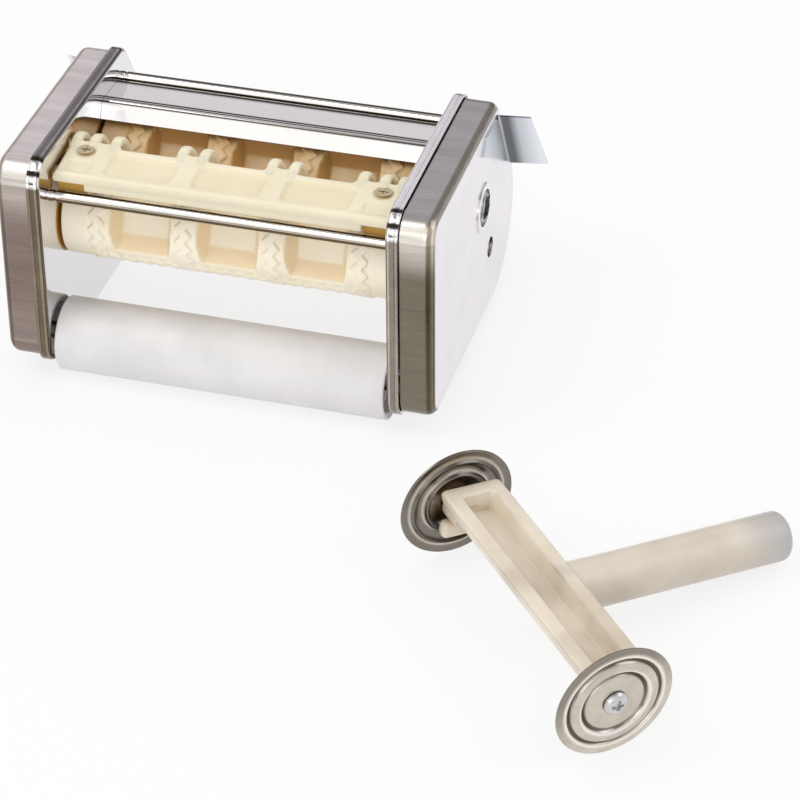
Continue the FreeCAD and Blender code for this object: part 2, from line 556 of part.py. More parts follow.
add_polygon(sk, [(34.5, 89.4), (34.5, 93.0), (37.6, 94.0), (41.0, 94.4), (44.6, 93.4), (48.2, 90.6), (51.6, 86.2),
                 (54.4, 80.8), (56.6, 74.4), (55.6, 74.6), (53.0, 77.4), (51.2, 79.2), (49.4, 83.6), (46.6, 87.6),
                 (43.4, 90.2), (40.2, 91.2), (37.6, 90.8), (36.4, 89.4)])
pad(band, sk, "finger_pad", "2 * dims.comb_half")
slots = []
for k, x in enumerate((-72.8, -64.8, -55.2, -24.8, -15.2, 15.2, 24.8, 55.2, 64.8, 72.8)):
    slots.append(box("finger_slot_%d" % k, "%.1f - dims.claw_w / 2" % x, "30", "70", d("claw_w"), "30", "30"))
for k, x in enumerate((-60.0, -20.0, 20.0, 60.0)):
    slots.append(box("finger_web_%d" % k, "%.1f - 5" % x, "30", "86", "10", "8.6", "6.8"))
fingers = doc.addObject("Part::MultiCommon", "comb_fingers")
fingers.Shapes = [band, fuse("finger_slots", slots)]
comb = fuse("comb_solid", [b, skirt, fingers])
screw_holes = []
for side, s in SIDES:
    x = s * v["comb_screw_x"]
    cone = doc.addObject("Part::Cone", side + "_countersink")
    cone.Placement = FreeCAD.Placement(V(x, v["comb_screw_y"], 90.6), FreeCAD.Rotation())
    cone.Radius1 = 1.9
    cone.Radius2 = 4.2
    cone.Height = 2.6
    drill = doc.addObject("Part::Cylinder", side + "_comb_drill")
    drill.Placement = FreeCAD.Placement(V(x, v["comb_screw_y"], 84), FreeCAD.Rotation())
    drill.Radius = 1.9
    drill.Height = 8
    screw_holes.extend([cone, drill])
finish(cut("comb_drilled", comb, fuse("comb_holes", screw_holes)), "dough_comb", MACHINE)

# Steel tabs on the side frames under the comb's ends
tabs = []
for side, s in SIDES:
    flat = box(side + "_tab_flat", "60.2" if s > 0 else "-dims.inner_half", "24.5", "86.2", "dims.inner_half - 60.2",
               "11.5", "1.2")
    down = box(side + "_tab_leg", "dims.inner_half - 1.2" if s > 0 else "-dims.inner_half", "24.5", "82.6", "1.2",
               "11.5", "4.8")
    both = fuse(side + "_tab_both", [flat, down])
    drill = doc.addObject("Part::Cylinder", side + "_tab_drill")
    drill.Placement = FreeCAD.Placement(V(s * v["comb_screw_x"], v["comb_screw_y"], 84), FreeCAD.Rotation())
    drill.Radius = 1.6
    drill.Height = 8
    tabs.append(cut(side + "_tab", both, drill))
finish(fuse("comb_tabs_group", tabs), "comb_tabs", MACHINE)

# Countersunk screws that hold the comb
screws = []
for side, s in SIDES:
    x = s * v["comb_screw_x"]
    head = doc.addObject("Part::Cone", side + "_comb_screw_head")
    head.Placement = FreeCAD.Placement(V(x, v["comb_screw_y"], 90.6), FreeCAD.Rotation())
    head.Radius1 = 1.9
    head.Radius2 = 3.75
    head.Height = 2.2
    shank = doc.addObject("Part::Cylinder", side + "_comb_screw_shank")
    shank.Placement = FreeCAD.Placement(V(x, v["comb_screw_y"], 84.4), FreeCAD.Rotation())
    shank.Radius = 1.6
    shank.Height = 7
    slot_a = doc.addObject("Part::Box", side + "_comb_cross_a")
    slot_a.Placement = FreeCAD.Placement(V(x - 2.2, v["comb_screw_y"] - 0.4, 91.9), FreeCAD.Rotation())
    slot_a.Length = 4.4
    slot_a.Width = 0.8
    slot_a.Height = 2
    slot_b = doc.addObject("Part::Box", side + "_comb_cross_b")
    slot_b.Placement = FreeCAD.Placement(V(x - 0.4, v["comb_screw_y"] - 2.2, 91.9), FreeCAD.Rotation())
    slot_b.Length = 0.8
    slot_b.Width = 4.4
    slot_b.Height = 2
    solid = fuse(side + "_comb_screw_solid", [head, shank])
    screws.append(cut(side + "_comb_screw", solid, fuse(side + "_comb_cross", [slot_a, slot_b])))
finish(fuse("comb_screws_group", screws), "comb_screws", MACHINE)

# Posts inside the covers and the screws that hold the covers to them
posts = []
cover_screws = []
for side, s in SIDES:
    x0 = "dims.inner_half + dims.sheet_t" if s > 0 else "-dims.cup_floor + dims.cover_sheet"
    run = "dims.cup_floor - dims.cover_sheet - dims.inner_half - dims.sheet_t"
    post = cylinder(side + "_post_bar", x0, d("post_y"), d("post_z"), d("post_r"), run)
    x_hole = "dims.cup_floor - 9" if s > 0 else "-dims.cup_floor - 1"
    hole = cylinder(side + "_post_hole", x_hole, d("post_y"), d("post_z"), d("stub_r"), "10")
    posts.append(cut(side + "_post", post, hole))
    x_head = "dims.cup_floor" if s > 0 else "-dims.cup_floor - 2.2"
    head = cylinder(side + "_cover_screw_head", x_head, d("post_y"), d("post_z"), "3.7", "2.2")
    x_shank = "dims.cup_floor - 9" if s > 0 else "-dims.cup_floor - 1"
    shank = cylinder(side + "_cover_screw_shank", x_shank, d("post_y"), d("post_z"), d("stub_r"), "10")
    x_slot = "dims.cup_floor + 1.2" if s > 0 else "-dims.cup_floor - 3.2"
    across = box(side + "_cover_cross_a", x_slot, "dims.post_y - 2.2", "dims.post_z - 0.5", "2", "4.4", "1")
    upright = box(side + "_cover_cross_b", x_slot, "dims.post_y - 0.5", "dims.post_z - 2.2", "2", "1", "4.4")
    solid = fuse(side + "_cover_screw_solid", [head, shank])
    cover_screws.append(cut(side + "_cover_screw", solid, fuse(side + "_cover_cross", [across, upright])))
finish(fuse("cover_posts_group", posts), "cover_posts", MACHINE)
finish(fuse("cover_screws_group", cover_screws), "cover_screws", MACHINE)

# Wing brackets: one leaf on the cover's outer face, one leaf flared out to meet the pasta machine
for side, s in SIDES:
    face = FACE
    leaf = doc.addObject("Part::Feature", side + "_wing_leaf_outline")
    leaf.Shape = Part.makePolygon([V(s * face, 103.0, 93.0), V(s * face, 122.8, 60.0), V(s * face, 78.0, 87.6),
                                   V(s * face, 84.0, 94.0), V(s * face, 103.0, 93.0)])
    leaf.Visibility = False
    flat = doc.addObject("Part::Extrusion", side + "_wing_leaf")
    flat.Base = leaf
    flat.DirMode = "Custom"
    flat.Dir = V(s, 0, 0)
    flat.Solid = True
    bind(flat, "LengthFwd", d("wing_t"))
    low = V(face, 122.8, 60.0)
    high = V(face, 103.6, 94.2)
    out_high = V(107.6, 120.2, 85.6)
    normal = (high - low).cross(out_high - low).normalize()
    out_low = V(110.4, 143.7, 49.3)
    out_low = out_low - normal * (out_low - low).dot(normal)
    corners = [V(s * p.x, p.y, p.z) for p in (low, high, out_high, out_low, low)]
    flare_outline = doc.addObject("Part::Feature", side + "_wing_flare_outline")
    flare_outline.Shape = Part.makePolygon(corners)
    flare_outline.Visibility = False
    flare = doc.addObject("Part::Extrusion", side + "_wing_flare")
    flare.Base = flare_outline
    flare.DirMode = "Custom"
    flare.Dir = V(s * abs(normal.x), -abs(normal.y) if normal.x * normal.y < 0 else abs(normal.y),
                  -abs(normal.z) if normal.x * normal.z < 0 else abs(normal.z))
    flare.Solid = True
    bind(flare, "LengthFwd", d("wing_t"))
    finish(fuse(side + "_wing_solid", [flat, flare]), side + "_wing_bracket", MACHINE)

# Cutter handle: trough shaped cross bar, hubs for the wheels and a hollow round grip, in one moulding
b = new_body("cutter_bar_body")
sk = new_sketch(b, "YZ_Plane", "cutter_bar_section", "-dims.bar_half")
half_bar = v["bar_w"] / 2
arc_circle = Part.Circle(V(v["bar_shift"], v["bar_top"], 0), V(0, 0, 1), half_bar)
arc_i = sk.addGeometry(Part.ArcOfCircle(arc_circle, math.pi, 2 * math.pi), False)
line_i = sk.addGeometry(Part.LineSegment(V(v["bar_shift"] + half_bar, v["bar_top"], 0),
                                         V(v["bar_shift"] - half_bar, v["bar_top"], 0)), False)
sk.addConstraint(Sketcher.Constraint("Coincident", arc_i, 2, line_i, 1))
sk.addConstraint(Sketcher.Constraint("Coincident", line_i, 2, arc_i, 1))
sk.addConstraint(Sketcher.Constraint("PointOnObject", arc_i, 3, line_i))
sk.addConstraint(Sketcher.Constraint("Horizontal", line_i))
i = sk.addConstraint(Sketcher.Constraint("DistanceX", -1, 1, arc_i, 3, v["bar_shift"]))
bind(sk, "Constraints[%d]" % i, d("bar_shift"))
i = sk.addConstraint(Sketcher.Constraint("DistanceY", -1, 1, arc_i, 3, v["bar_top"]))
bind(sk, "Constraints[%d]" % i, d("bar_top"))
i = sk.addConstraint(Sketcher.Constraint("Radius", arc_i, half_bar))
bind(sk, "Constraints[%d]" % i, "dims.bar_w / 2")
pad(b, sk, "cutter_bar_pad", "2 * dims.bar_half")
grip = doc.addObject("Part::Cylinder", "cutter_grip")
grip.Placement = FreeCAD.Placement(V(0, 6, 0), FreeCAD.Rotation(V(1, 0, 0), -90))
bind(grip, "Radius", d("handle_r"))
bind(grip, "Height", "dims.handle_l - 6")
grip_rim = doc.addObject("Part::Fillet", "cutter_grip_round")
grip_rim.Base = grip
doc.recompute()
rim_edges = []
for k, edge in enumerate(grip.Shape.Edges, start=1):
    if edge.BoundBox.YMin > v["handle_l"] - 1:
        rim_edges.append((k, 3.0, 3.0))
grip_rim.Edges = rim_edges
hubs = [cylinder("cutter_hub_left", "-dims.hub_end", "0", "0", d("hub_r"), "8"),
        cylinder("cutter_hub_right", "dims.hub_end - 8", "0", "0", d("hub_r"), "8"),
        box("cutter_foot_left", "-dims.bar_half - 1.6", "-9", "-12.6", "5", "18", "10.6"),
        box("cutter_foot_right", "dims.bar_half - 3.4", "-9", "-12.6", "5", "18", "10.6")]
whole = fuse("cutter_solid", [b, grip_rim] + hubs)
trough = box("cutter_trough", "-dims.trough_half", "dims.bar_shift - dims.trough_w / 2",
             "dims.bar_top - dims.trough_deep", "2 * dims.trough_half", d("trough_w"), "20")
grip_bore = doc.addObject("Part::Cylinder", "cutter_grip_bore")
grip_bore.Placement = FreeCAD.Placement(V(0, 7, 0), FreeCAD.Rotation(V(1, 0, 0), -90))
bind(grip_bore, "Radius", d("handle_bore"))
bind(grip_bore, "Height", "dims.handle_l - 7 - 3")
threads = [cylinder("cutter_thread_left", "-dims.hub_end - 1", "0", "0", d("shank_r"), "12"),
           cylinder("cutter_thread_right", "dims.hub_end - 11", "0", "0", d("shank_r"), "12")]
hollow = fuse("cutter_hollow", [trough, grip_bore] + threads)
finish(cut("cutter_handle_solid", whole, hollow), "cutter_handle", CUTTER)

# Cutter wheels: pressed discs with two rings
for side, s in SIDES:
    b = new_body("cutter_%s_wheel_body" % side)
    sk = new_sketch(b, "XY_Plane", side + "_wheel_profile", "0")
    half = v["wheel_half"]
    t = v["wheel_t"]
    face = [(3.1, 0.2), (12.4, 0.2), (13.6, -0.9), (14.6, 0.3), (17.0, 0.9), (18.8, 0.3), (19.8, -0.9), (20.8, 0.2),
            (v["wheel_r"], -0.4)]
    ring = [(s * (half + q), r) for r, q in face] + [(s * (half + q - t), r) for r, q in reversed(face)]
    add_polygon(sk, ring)
    revolve(b, sk, side + "_wheel_turned")
    finish(b, "cutter_%s_wheel" % side, CUTTER)

# Shouldered screws that the wheels turn on
for side, s in SIDES:
    def at(near, far):
        """Lower X of a stretch that runs between two distances from the middle."""
        return near if s > 0 else "-(" + far + ")"
    shank = cylinder("cutter_%s_shank" % side, at("dims.hub_end - 10.8", "dims.hub_end"), "0", "0", d("shank_r"),
                     "10.8")
    shoulder = cylinder("cutter_%s_shoulder" % side, at("dims.hub_end", "dims.wheel_half + 0.5"), "0", "0",
                        d("shoulder_r"), "dims.wheel_half + 0.5 - dims.hub_end")
    head = cylinder("cutter_%s_head" % side, at("dims.wheel_half + 0.5", "dims.wheel_half + 3.1"), "0", "0",
                    d("head_r"), "2.6")
    solid = fuse("cutter_%s_screw_solid" % side, [shank, shoulder, head])
    x_slot = at("dims.wheel_half + 1.9", "dims.wheel_half + 3.9")
    across = box("cutter_%s_cross_a" % side, x_slot, "-3", "-0.6", "2", "6", "1.2")
    upright = box("cutter_%s_cross_b" % side, x_slot, "-0.6", "-3", "2", "1.2", "6")
    finish(cut("cutter_%s_screw_cut" % side, solid, fuse("cutter_%s_cross" % side, [across, upright])),
           "cutter_%s_screw" % side, CUTTER)

doc.recompute()

# Checks, then one file for each piece
bad = [o.Name + " " + o.getStatusString() for o in doc.Objects if "Invalid" in o.State or "Error" in o.State]
if bad:
    raise SystemExit("objects in error: " + ", ".join(bad))
os.makedirs("parts", exist_ok=True)
for obj in NODES:
    shape = obj.Shape
    if shape.isNull() or not shape.isValid() or shape.Volume <= 0:
        raise SystemExit("bad shape: " + obj.Label)
    shape.exportStep("parts/%s.step" % obj.Label)
    bb = shape.BoundBox
    print("%-22s solids %d  volume %9.1f  x %.1f..%.1f  y %.1f..%.1f  z %.1f..%.1f" % (
        obj.Label, len(shape.Solids), shape.Volume, bb.XMin, bb.XMax, bb.YMin, bb.YMax, bb.ZMin, bb.ZMax))
print("pieces", len(NODES), "table z", round(TABLE_Z, 3), "cutter slope", round(CUTTER_SLOPE, 3))
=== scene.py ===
"""Ravioli maker with a loose twin wheel dough cutter: moulded and pressed surfaces, finishes and light."""

import math

import bpy
import numpy as np
from mathutils import Matrix, Vector


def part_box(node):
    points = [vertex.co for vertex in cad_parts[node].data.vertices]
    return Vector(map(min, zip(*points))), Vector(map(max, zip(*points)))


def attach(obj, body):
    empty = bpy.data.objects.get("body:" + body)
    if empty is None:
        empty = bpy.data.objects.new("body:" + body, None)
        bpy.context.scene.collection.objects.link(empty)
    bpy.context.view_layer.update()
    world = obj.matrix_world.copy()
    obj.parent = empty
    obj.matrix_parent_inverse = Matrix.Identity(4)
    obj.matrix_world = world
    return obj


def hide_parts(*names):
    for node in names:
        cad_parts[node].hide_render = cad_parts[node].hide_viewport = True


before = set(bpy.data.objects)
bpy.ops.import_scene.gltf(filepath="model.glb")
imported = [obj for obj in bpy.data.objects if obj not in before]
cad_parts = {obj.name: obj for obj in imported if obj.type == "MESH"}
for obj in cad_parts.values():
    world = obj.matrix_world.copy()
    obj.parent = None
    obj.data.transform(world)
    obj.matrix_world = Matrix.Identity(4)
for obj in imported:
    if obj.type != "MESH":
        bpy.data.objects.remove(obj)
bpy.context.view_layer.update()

bl_info = {
    "name": "Ravioli Maker",
    "version": (1, 0, 0),
    "blender": (4, 5, 0),
    "location": "View3D > Sidebar > Ravioli Maker",
    "description": "Skins and finishes of a ravioli maker and its dough cutter over the packed frame",
    "category": "Add Mesh",
}

# How the machine stands: leaned back on its guide roller, with the mouth of the drive socket at the origin
LEAN = math.radians(4.46)
SOCKET_MOUTH = np.array([94.4, 82.5, 59.5])
FLOOR_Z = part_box("guide_roller")[0].z

# How the cutter lies: on its two wheels and the end of its handle
WHEEL_RADIUS = 25.3
CUTTER_PLACE = np.array([73.5, -198.3, FLOOR_Z * 1000 + WHEEL_RADIUS])
CUTTER_HEADING = math.radians(-47.87)
CUTTER_SLOPE = math.radians(7.33)

# The machine's own drawing is in millimetres: across from its middle, back and up
FRONT_AXIS = (39.0, 59.5)
REAR_AXIS = (82.5, 59.5)
GUIDE_AXIS = (15.2, 7.9)
CHEEK_INSIDE = 76.0
CHEEK_OUTSIDE = 77.2
# Corner circles of the cheeks: (back, up, radius)
CHEEK_CORNERS = [(10.0, 10.0, 10.0), (100.0, 38.8, 38.8), (103.6, 91.2, 8.0), (10.0, 89.2, 10.0)]
FINGERS = (-72.8, -64.8, -55.2, -24.8, -15.2, 15.2, 24.8, 55.2, 64.8, 72.8)


def turned(a, b, angle):
    """Two coordinates turned by an angle, from the first toward the second."""
    c, s = math.cos(angle), math.sin(angle)
    return a * c - b * s, a * s + b * c


def leaned(points):
    """Machine drawing points in mm (across, back, up) turned by the lean and set in the frame, in metres."""
    p = np.asarray(points, float) - SOCKET_MOUTH
    back, up = turned(p[..., 1], p[..., 2], -LEAN)
    return np.stack([p[..., 0], back, up], axis=-1) / 1000


def laid(points):
    """Cutter drawing points in mm (along axle, along handle, up) sloped, headed and set down, in metres."""
    p = np.asarray(points, float)
    along, up = turned(p[..., 1], p[..., 2], -CUTTER_SLOPE)
    x, y = turned(p[..., 0], along, CUTTER_HEADING)
    return (np.stack([x, y, up], axis=-1) + CUTTER_PLACE) / 1000


# Surfaces

def soft_step(x, edge, width):
    """Goes smoothly from 0 to 1 as x passes edge, over a stretch of that width (3t^2 - 2t^3)."""
    t = np.clip((x - edge) / width + 0.5, 0.0, 1.0)
    return t * t * (3 - 2 * t)


def soft_max(a, b, blend):
    """The larger of two heights, with the crease between them filled by a small parabola of that width."""
    return np.maximum(a, b) + np.maximum(blend - np.abs(a - b), 0.0) ** 2 / (4 * blend)


def mound(x, centre, width):
    """A smooth mound of height 1: the exponential of minus the squared distance in widths."""
    return np.exp(-((x - centre) / width) ** 2)


def rounding(inset, radius):
    """The share of its radius by which a quarter circle has fallen away at an inset from the edge."""
    t = np.clip(inset / radius, 0.0, 1.0)
    return 1 - np.sqrt(1 - (1 - t) ** 2)


def zigzag(x, period):
    """A triangle wave between -1 and 1 with its corners eased: the arcsine of 0.93 sin over its own peak."""
    ease = 0.93
    return np.arcsin(ease * np.sin(2 * math.pi * x / period)) / math.asin(ease)


def crowded(half, insets, steps):
    """Places from -half to half: at the insets from each end, with even steps between the innermost."""
    *outer, inner = (half - inset for inset in insets)
    return np.concatenate([[-place for place in outer], np.linspace(-inner, inner, steps), outer[::-1]])


def quads(rows, cols, wrap_rows, wrap_cols):
    """Corner numbers of the faces of a grid of points, which may close on itself either way."""
    i, j = np.meshgrid(np.arange(rows if wrap_rows else rows - 1),
                       np.arange(cols if wrap_cols else cols - 1), indexing="ij")
    down, right = (i + 1) % rows, (j + 1) % cols
    corners = [i * cols + j, i * cols + right, down * cols + right, down * cols + j]
    return np.stack(corners, axis=-1).reshape(-1, 4)


def volume(points, faces):
    """Signed volume inside a closed skin: a sixth of the sum of each triangle's triple product."""
    a, b, c, d = (points[faces[:, k]] for k in range(4))
    return (np.einsum("ij,ij->i", a, np.cross(b, c)) + np.einsum("ij,ij->i", a, np.cross(c, d))).sum() / 6


def piece(name, skins, body, finish, stands_for, sharp=32.0):
    """A named mesh from closed grids (points, wrap_rows, wrap_cols), which rides a body and wears a finish.

    Each grid is turned outward by the sign of its volume. Points that fall together are welded, and faces
    that shrink to a line or a point, as at a pole, are left out. A grid may bring a fourth part, its hollow
    values, which finishes read as a mask for painted shade, for a painted highlight where negative and, on
    the handle, for a grey.
    """
    all_points, all_faces, all_hollow, first = [], [], [], 0
    for points, wrap_rows, wrap_cols, *hollow in skins:
        flat = points.reshape(-1, 3)
        faces = quads(*points.shape[:2], wrap_rows, wrap_cols)
        if volume(flat - flat.mean(axis=0), faces) < 0:
            faces = faces[:, ::-1]
        keys, where = np.unique(np.round(flat * 1e7).astype(np.int64), axis=0, return_inverse=True)
        where = where.ravel()
        welded, depth = np.zeros((len(keys), 3)), np.zeros(len(keys))
        welded[where] = flat
        if hollow:
            depth[where] = hollow[0].ravel()
        all_points.append(welded)
        all_hollow.append(depth)
        all_faces.append(where[faces] + first)
        first += len(keys)
    corners = []
    for face in np.concatenate(all_faces).tolist():
        kept = [v for k, v in enumerate(face) if v != face[k - 1]]
        if len(set(kept)) > 2:
            corners.append(kept)
    mesh = bpy.data.meshes.new(name)
    mesh.from_pydata(np.concatenate(all_points).tolist(), [], corners)
    mesh.shade_smooth()
    mesh.set_sharp_from_angle(angle=math.radians(sharp))
    mesh.attributes.new("hollow", "FLOAT", "POINT").data.foreach_set("value", np.concatenate(all_hollow))
    mesh.materials.append(bpy.data.materials[finish])
    obj = bpy.data.objects.new(name, mesh)
    bpy.context.scene.collection.objects.link(obj)
    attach(obj, body)
    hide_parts(stands_for)


def arc(cx, cy, radius, start, end, steps):
    """Points on an arc, with the angles in degrees."""
    a = np.radians(np.linspace(start, end, steps))
    return [(cx + radius * math.cos(t), cy + radius * math.sin(t)) for t in a]


def mirrored(half):
    """A profile from its middle outward, (distance, radius), with its other half put before it."""
    return [(-x, r) for x, r in half[::-1]] + half[1:]


def lathe(profile, centre, turns):
    """A profile of (along X, radius) points turned about the line through centre that runs along X."""
    profile = np.asarray(profile, float)
    a = np.linspace(0, 2 * math.pi, turns, endpoint=False)
    x, radius = profile[:, :1] + 0 * a, profile[:, 1:]
    return np.stack([x, centre[0] + radius * np.cos(a), centre[1] + radius * np.sin(a)], axis=-1)


def close_ends(grid):
    """Adds a row at each end of a tube of rings, drawn in to the ring's own middle, which closes the skin."""
    first, last = (np.repeat(grid[k:k + 1].mean(axis=1, keepdims=True), grid.shape[1], axis=1)
                   for k in (0, len(grid) - 1))
    return np.concatenate([first, grid, last])


def rounded_slab(x_ends, y_ends, z_ends, radius, steps=5):
    """A block with every edge rounded: a ball's points pushed apart to the block's eight inner corners."""
    across = np.linspace(0, math.pi, 2 * steps)
    turn = np.concatenate([np.linspace(k * math.pi / 2, (k + 1) * math.pi / 2, steps) for k in range(4)])
    p, t = np.meshgrid(across, turn, indexing="ij")
    quarter = np.arange(4 * steps) // steps
    pushes = (np.where(np.arange(2 * steps) < steps, 1.0, -1.0)[:, None],
              np.where((quarter == 0) | (quarter == 3), 1.0, -1.0), np.where(quarter < 2, 1.0, -1.0))
    ball = (np.cos(p), np.sin(p) * np.cos(t), np.sin(p) * np.sin(t))
    sides = [(low + high) / 2 + push * ((high - low) / 2 - radius) + radius * out
             for (low, high), push, out in zip((x_ends, y_ends, z_ends), pushes, ball)]
    return close_ends(np.stack(sides, axis=-1))


def smoothed(points, rounds):
    """A line of points whose inner ones are moved by (1, 2, 1) / 4 of themselves and their neighbours."""
    for _ in range(rounds):
        points[1:-1] = (points[:-2] + 2 * points[1:-1] + points[2:]) / 4
    return points


def refined(points, steps):
    """A line through points, taken at even steps of their number."""
    points = np.array(points)
    rows, k = np.linspace(0, len(points) - 1, steps), np.arange(len(points))
    return np.stack([np.interp(rows, k, points[:, c]) for c in (0, 1)], axis=-1)


def ring(x, section):
    """The (back, up) points of a section, set at a distance across."""
    return np.concatenate([np.full((len(section), 1), x), section], axis=1)


def outline(grow, steps=14):
    """The cheek's edge as (back, up) points: its grown corner circles, each over the turn it rounds."""
    points, turns = [], []
    for (y0, z0, r0), (y1, z1, r1) in zip(CHEEK_CORNERS, CHEEK_CORNERS[1:] + CHEEK_CORNERS[:1]):
        span = math.hypot(y1 - y0, z1 - z0)
        turns.append(math.atan2(z1 - z0, y1 - y0) - math.acos((r0 - r1) / span))
    for k, (y, z, r) in enumerate(CHEEK_CORNERS):
        start, end = turns[k - 1], turns[k]
        while end < start:
            end += 2 * math.pi
        wide = r > 20
        a = np.linspace(start, end, steps * 3 if wide else steps)
        reach = max(r + grow, 0.3)
        points.append(np.stack([y + reach * np.cos(a), z + reach * np.sin(a)], axis=-1))
    return np.concatenate(points)


def plate(x, grow, steps=5):
    """Rings of a flat plate at x that shrink from the cheek's grown edge to a point in the middle."""
    edge, middle = outline(grow), np.array([60.0, 52.0])
    return [ring(x, middle + (edge - middle) * k) for k in np.linspace(1.0, 0.0, steps)]


def cheek_skin(side):
    """A pressed cheek: flat plate, a rounded bend to the flange, a shallow crease along it and its lip.

    The bend's profile, as (distance out, growth of the outline), is carried round between the two faces.
    """
    inset = -6.0
    profile = [(CHEEK_INSIDE, inset), (CHEEK_INSIDE, -0.4)]
    profile += arc(78.2, -0.4, 2.2, 180, 90, 8)
    profile += [(79.2, 1.8), (79.9, 1.8), (80.15, 1.55), (80.35, 1.5), (80.55, 1.62), (80.8, 1.8)]
    profile += arc(81.1, 1.3, 0.5, 90, -60, 6)
    profile += [(80.9, 0.3), (78.4, 0.2), (77.4, -0.8), (CHEEK_OUTSIDE, inset)]
    bend = [ring(side * x, outline(grow)) for x, grow in profile]
    rings = plate(side * CHEEK_INSIDE, inset)[:0:-1] + bend + plate(side * CHEEK_OUTSIDE, inset)[1:]
    return (leaned(np.array(rings)), False, True)


def drum(sizes, centre, hand, bore):
    """A moulding drum: its radius is a function of the place along it and of the turn round it.

    Over a plain core, ribs with zigzag sides run round it between the pockets and along it between the rows.
    A pocket faces one turn. Its floor and its four sloping walls are planes, and each plane's radius is its
    distance from the axis over the cosine of the turn away from the pocket. The pocket is the largest of
    these radii, and the drum is the smaller of the pocket and the ribbed core.
    """
    pitch = sizes.rib_pitch * 1000
    core, rib = sizes.drum_radius * 1000, sizes.rib_radius * 1000
    half, collar, floor, rim = 75.2, 20.9, 11.0, 0.9
    teeth, swing, flank, round_rib, row_rib = 20, 1.3, 0.7, 2.5, 2.3
    end_slope, end_foot, side_slope, side_foot = 2.16, 6.5, 0.404, 10.3
    rows = [math.radians(hand * sizes.pocket_turn) + row * 2 * math.pi / 3 for row in range(3)]
    ribs = [k * pitch for k in (-1.5, -0.5, 0.5, 1.5)]
    marks = [-half, 1.7 - half] + [place + edge for place in ribs for edge in (-4.4, 4.4)]
    marks += [half - 1.7, half]
    steps = [6, 10] + [28, 46] * 3 + [28, 10, 6]
    spans = [np.linspace(low, high, n, endpoint=False) for low, high, n in zip(marks, marks[1:], steps)]
    x = np.concatenate(spans + [[half]])
    a = np.linspace(0, 2 * math.pi, 320, endpoint=False)
    X, A = np.meshgrid(x, a, indexing="ij")

    def away(turn):
        """The turn from a pocket to each point, between half a turn back and half a turn on."""
        return (A - turn + math.pi) % (2 * math.pi) - math.pi

    radius = np.full(X.shape, core)
    wave_round, wave_along = zigzag(A, 2 * math.pi / teeth), zigzag(X, pitch / 6)
    for place in ribs:
        edge = np.abs(X - place - swing * wave_round) - round_rib
        radius = np.maximum(radius, core + (rib - core) * soft_step(-edge, 0.0, flank))
    for turn in rows:
        edge = np.abs(away(turn + math.pi / 3) * core - swing * wave_along) - row_rib
        within = soft_step(ribs[3] - np.abs(X), 0.0, 0.9)
        radius = np.maximum(radius, core + (rib - core) * soft_step(-edge, 0.0, flank) * within)
    plain = soft_step(np.abs(X), ribs[3] + 3.9, 0.6)
    radius = radius * (1 - plain) + collar * plain
    # walls marks the pockets' sloping walls, where the drum's finish paints a warm shade
    walls = np.zeros(X.shape)
    for turn in rows:
        face = away(turn)
        level = np.maximum(np.cos(face), 0.2)
        slope = end_slope * np.cos(face) - np.abs(np.sin(face))
        end_wall = np.where(slope > 0.4, (end_slope * floor - end_foot) / np.maximum(slope, 0.4), 60.0)
        for k in (-1, 0, 1):
            side_wall = (floor + (np.abs(X - k * pitch) - side_foot) / side_slope) / level
            slanted = soft_max(end_wall, side_wall, 1.0)
            hollow = soft_max(floor / level, slanted, 0.9)
            inside = soft_step(radius - hollow, 0.6, 0.9)
            walls = np.maximum(walls, inside * soft_step(slanted - floor / level, 0.1, 0.8))
            radius = -soft_max(-radius, -hollow, 0.6)
    radius = radius - rim * rounding(half - np.abs(X), rim)
    # Angle 0 points up and grows toward the front, which is -Y
    grid = np.stack([X, centre[0] - radius * np.sin(A), centre[1] + radius * np.cos(A)], axis=-1)
    shaft = np.stack([0 * a, centre[0] - bore * np.sin(a), centre[1] + bore * np.cos(a)], axis=-1)
    skin = np.concatenate([(shaft + [-half, 0, 0])[None], grid, (shaft + [half, 0, 0])[None]])
    return (leaned(skin), True, True, np.pad(walls, ((1, 1), (0, 0))))


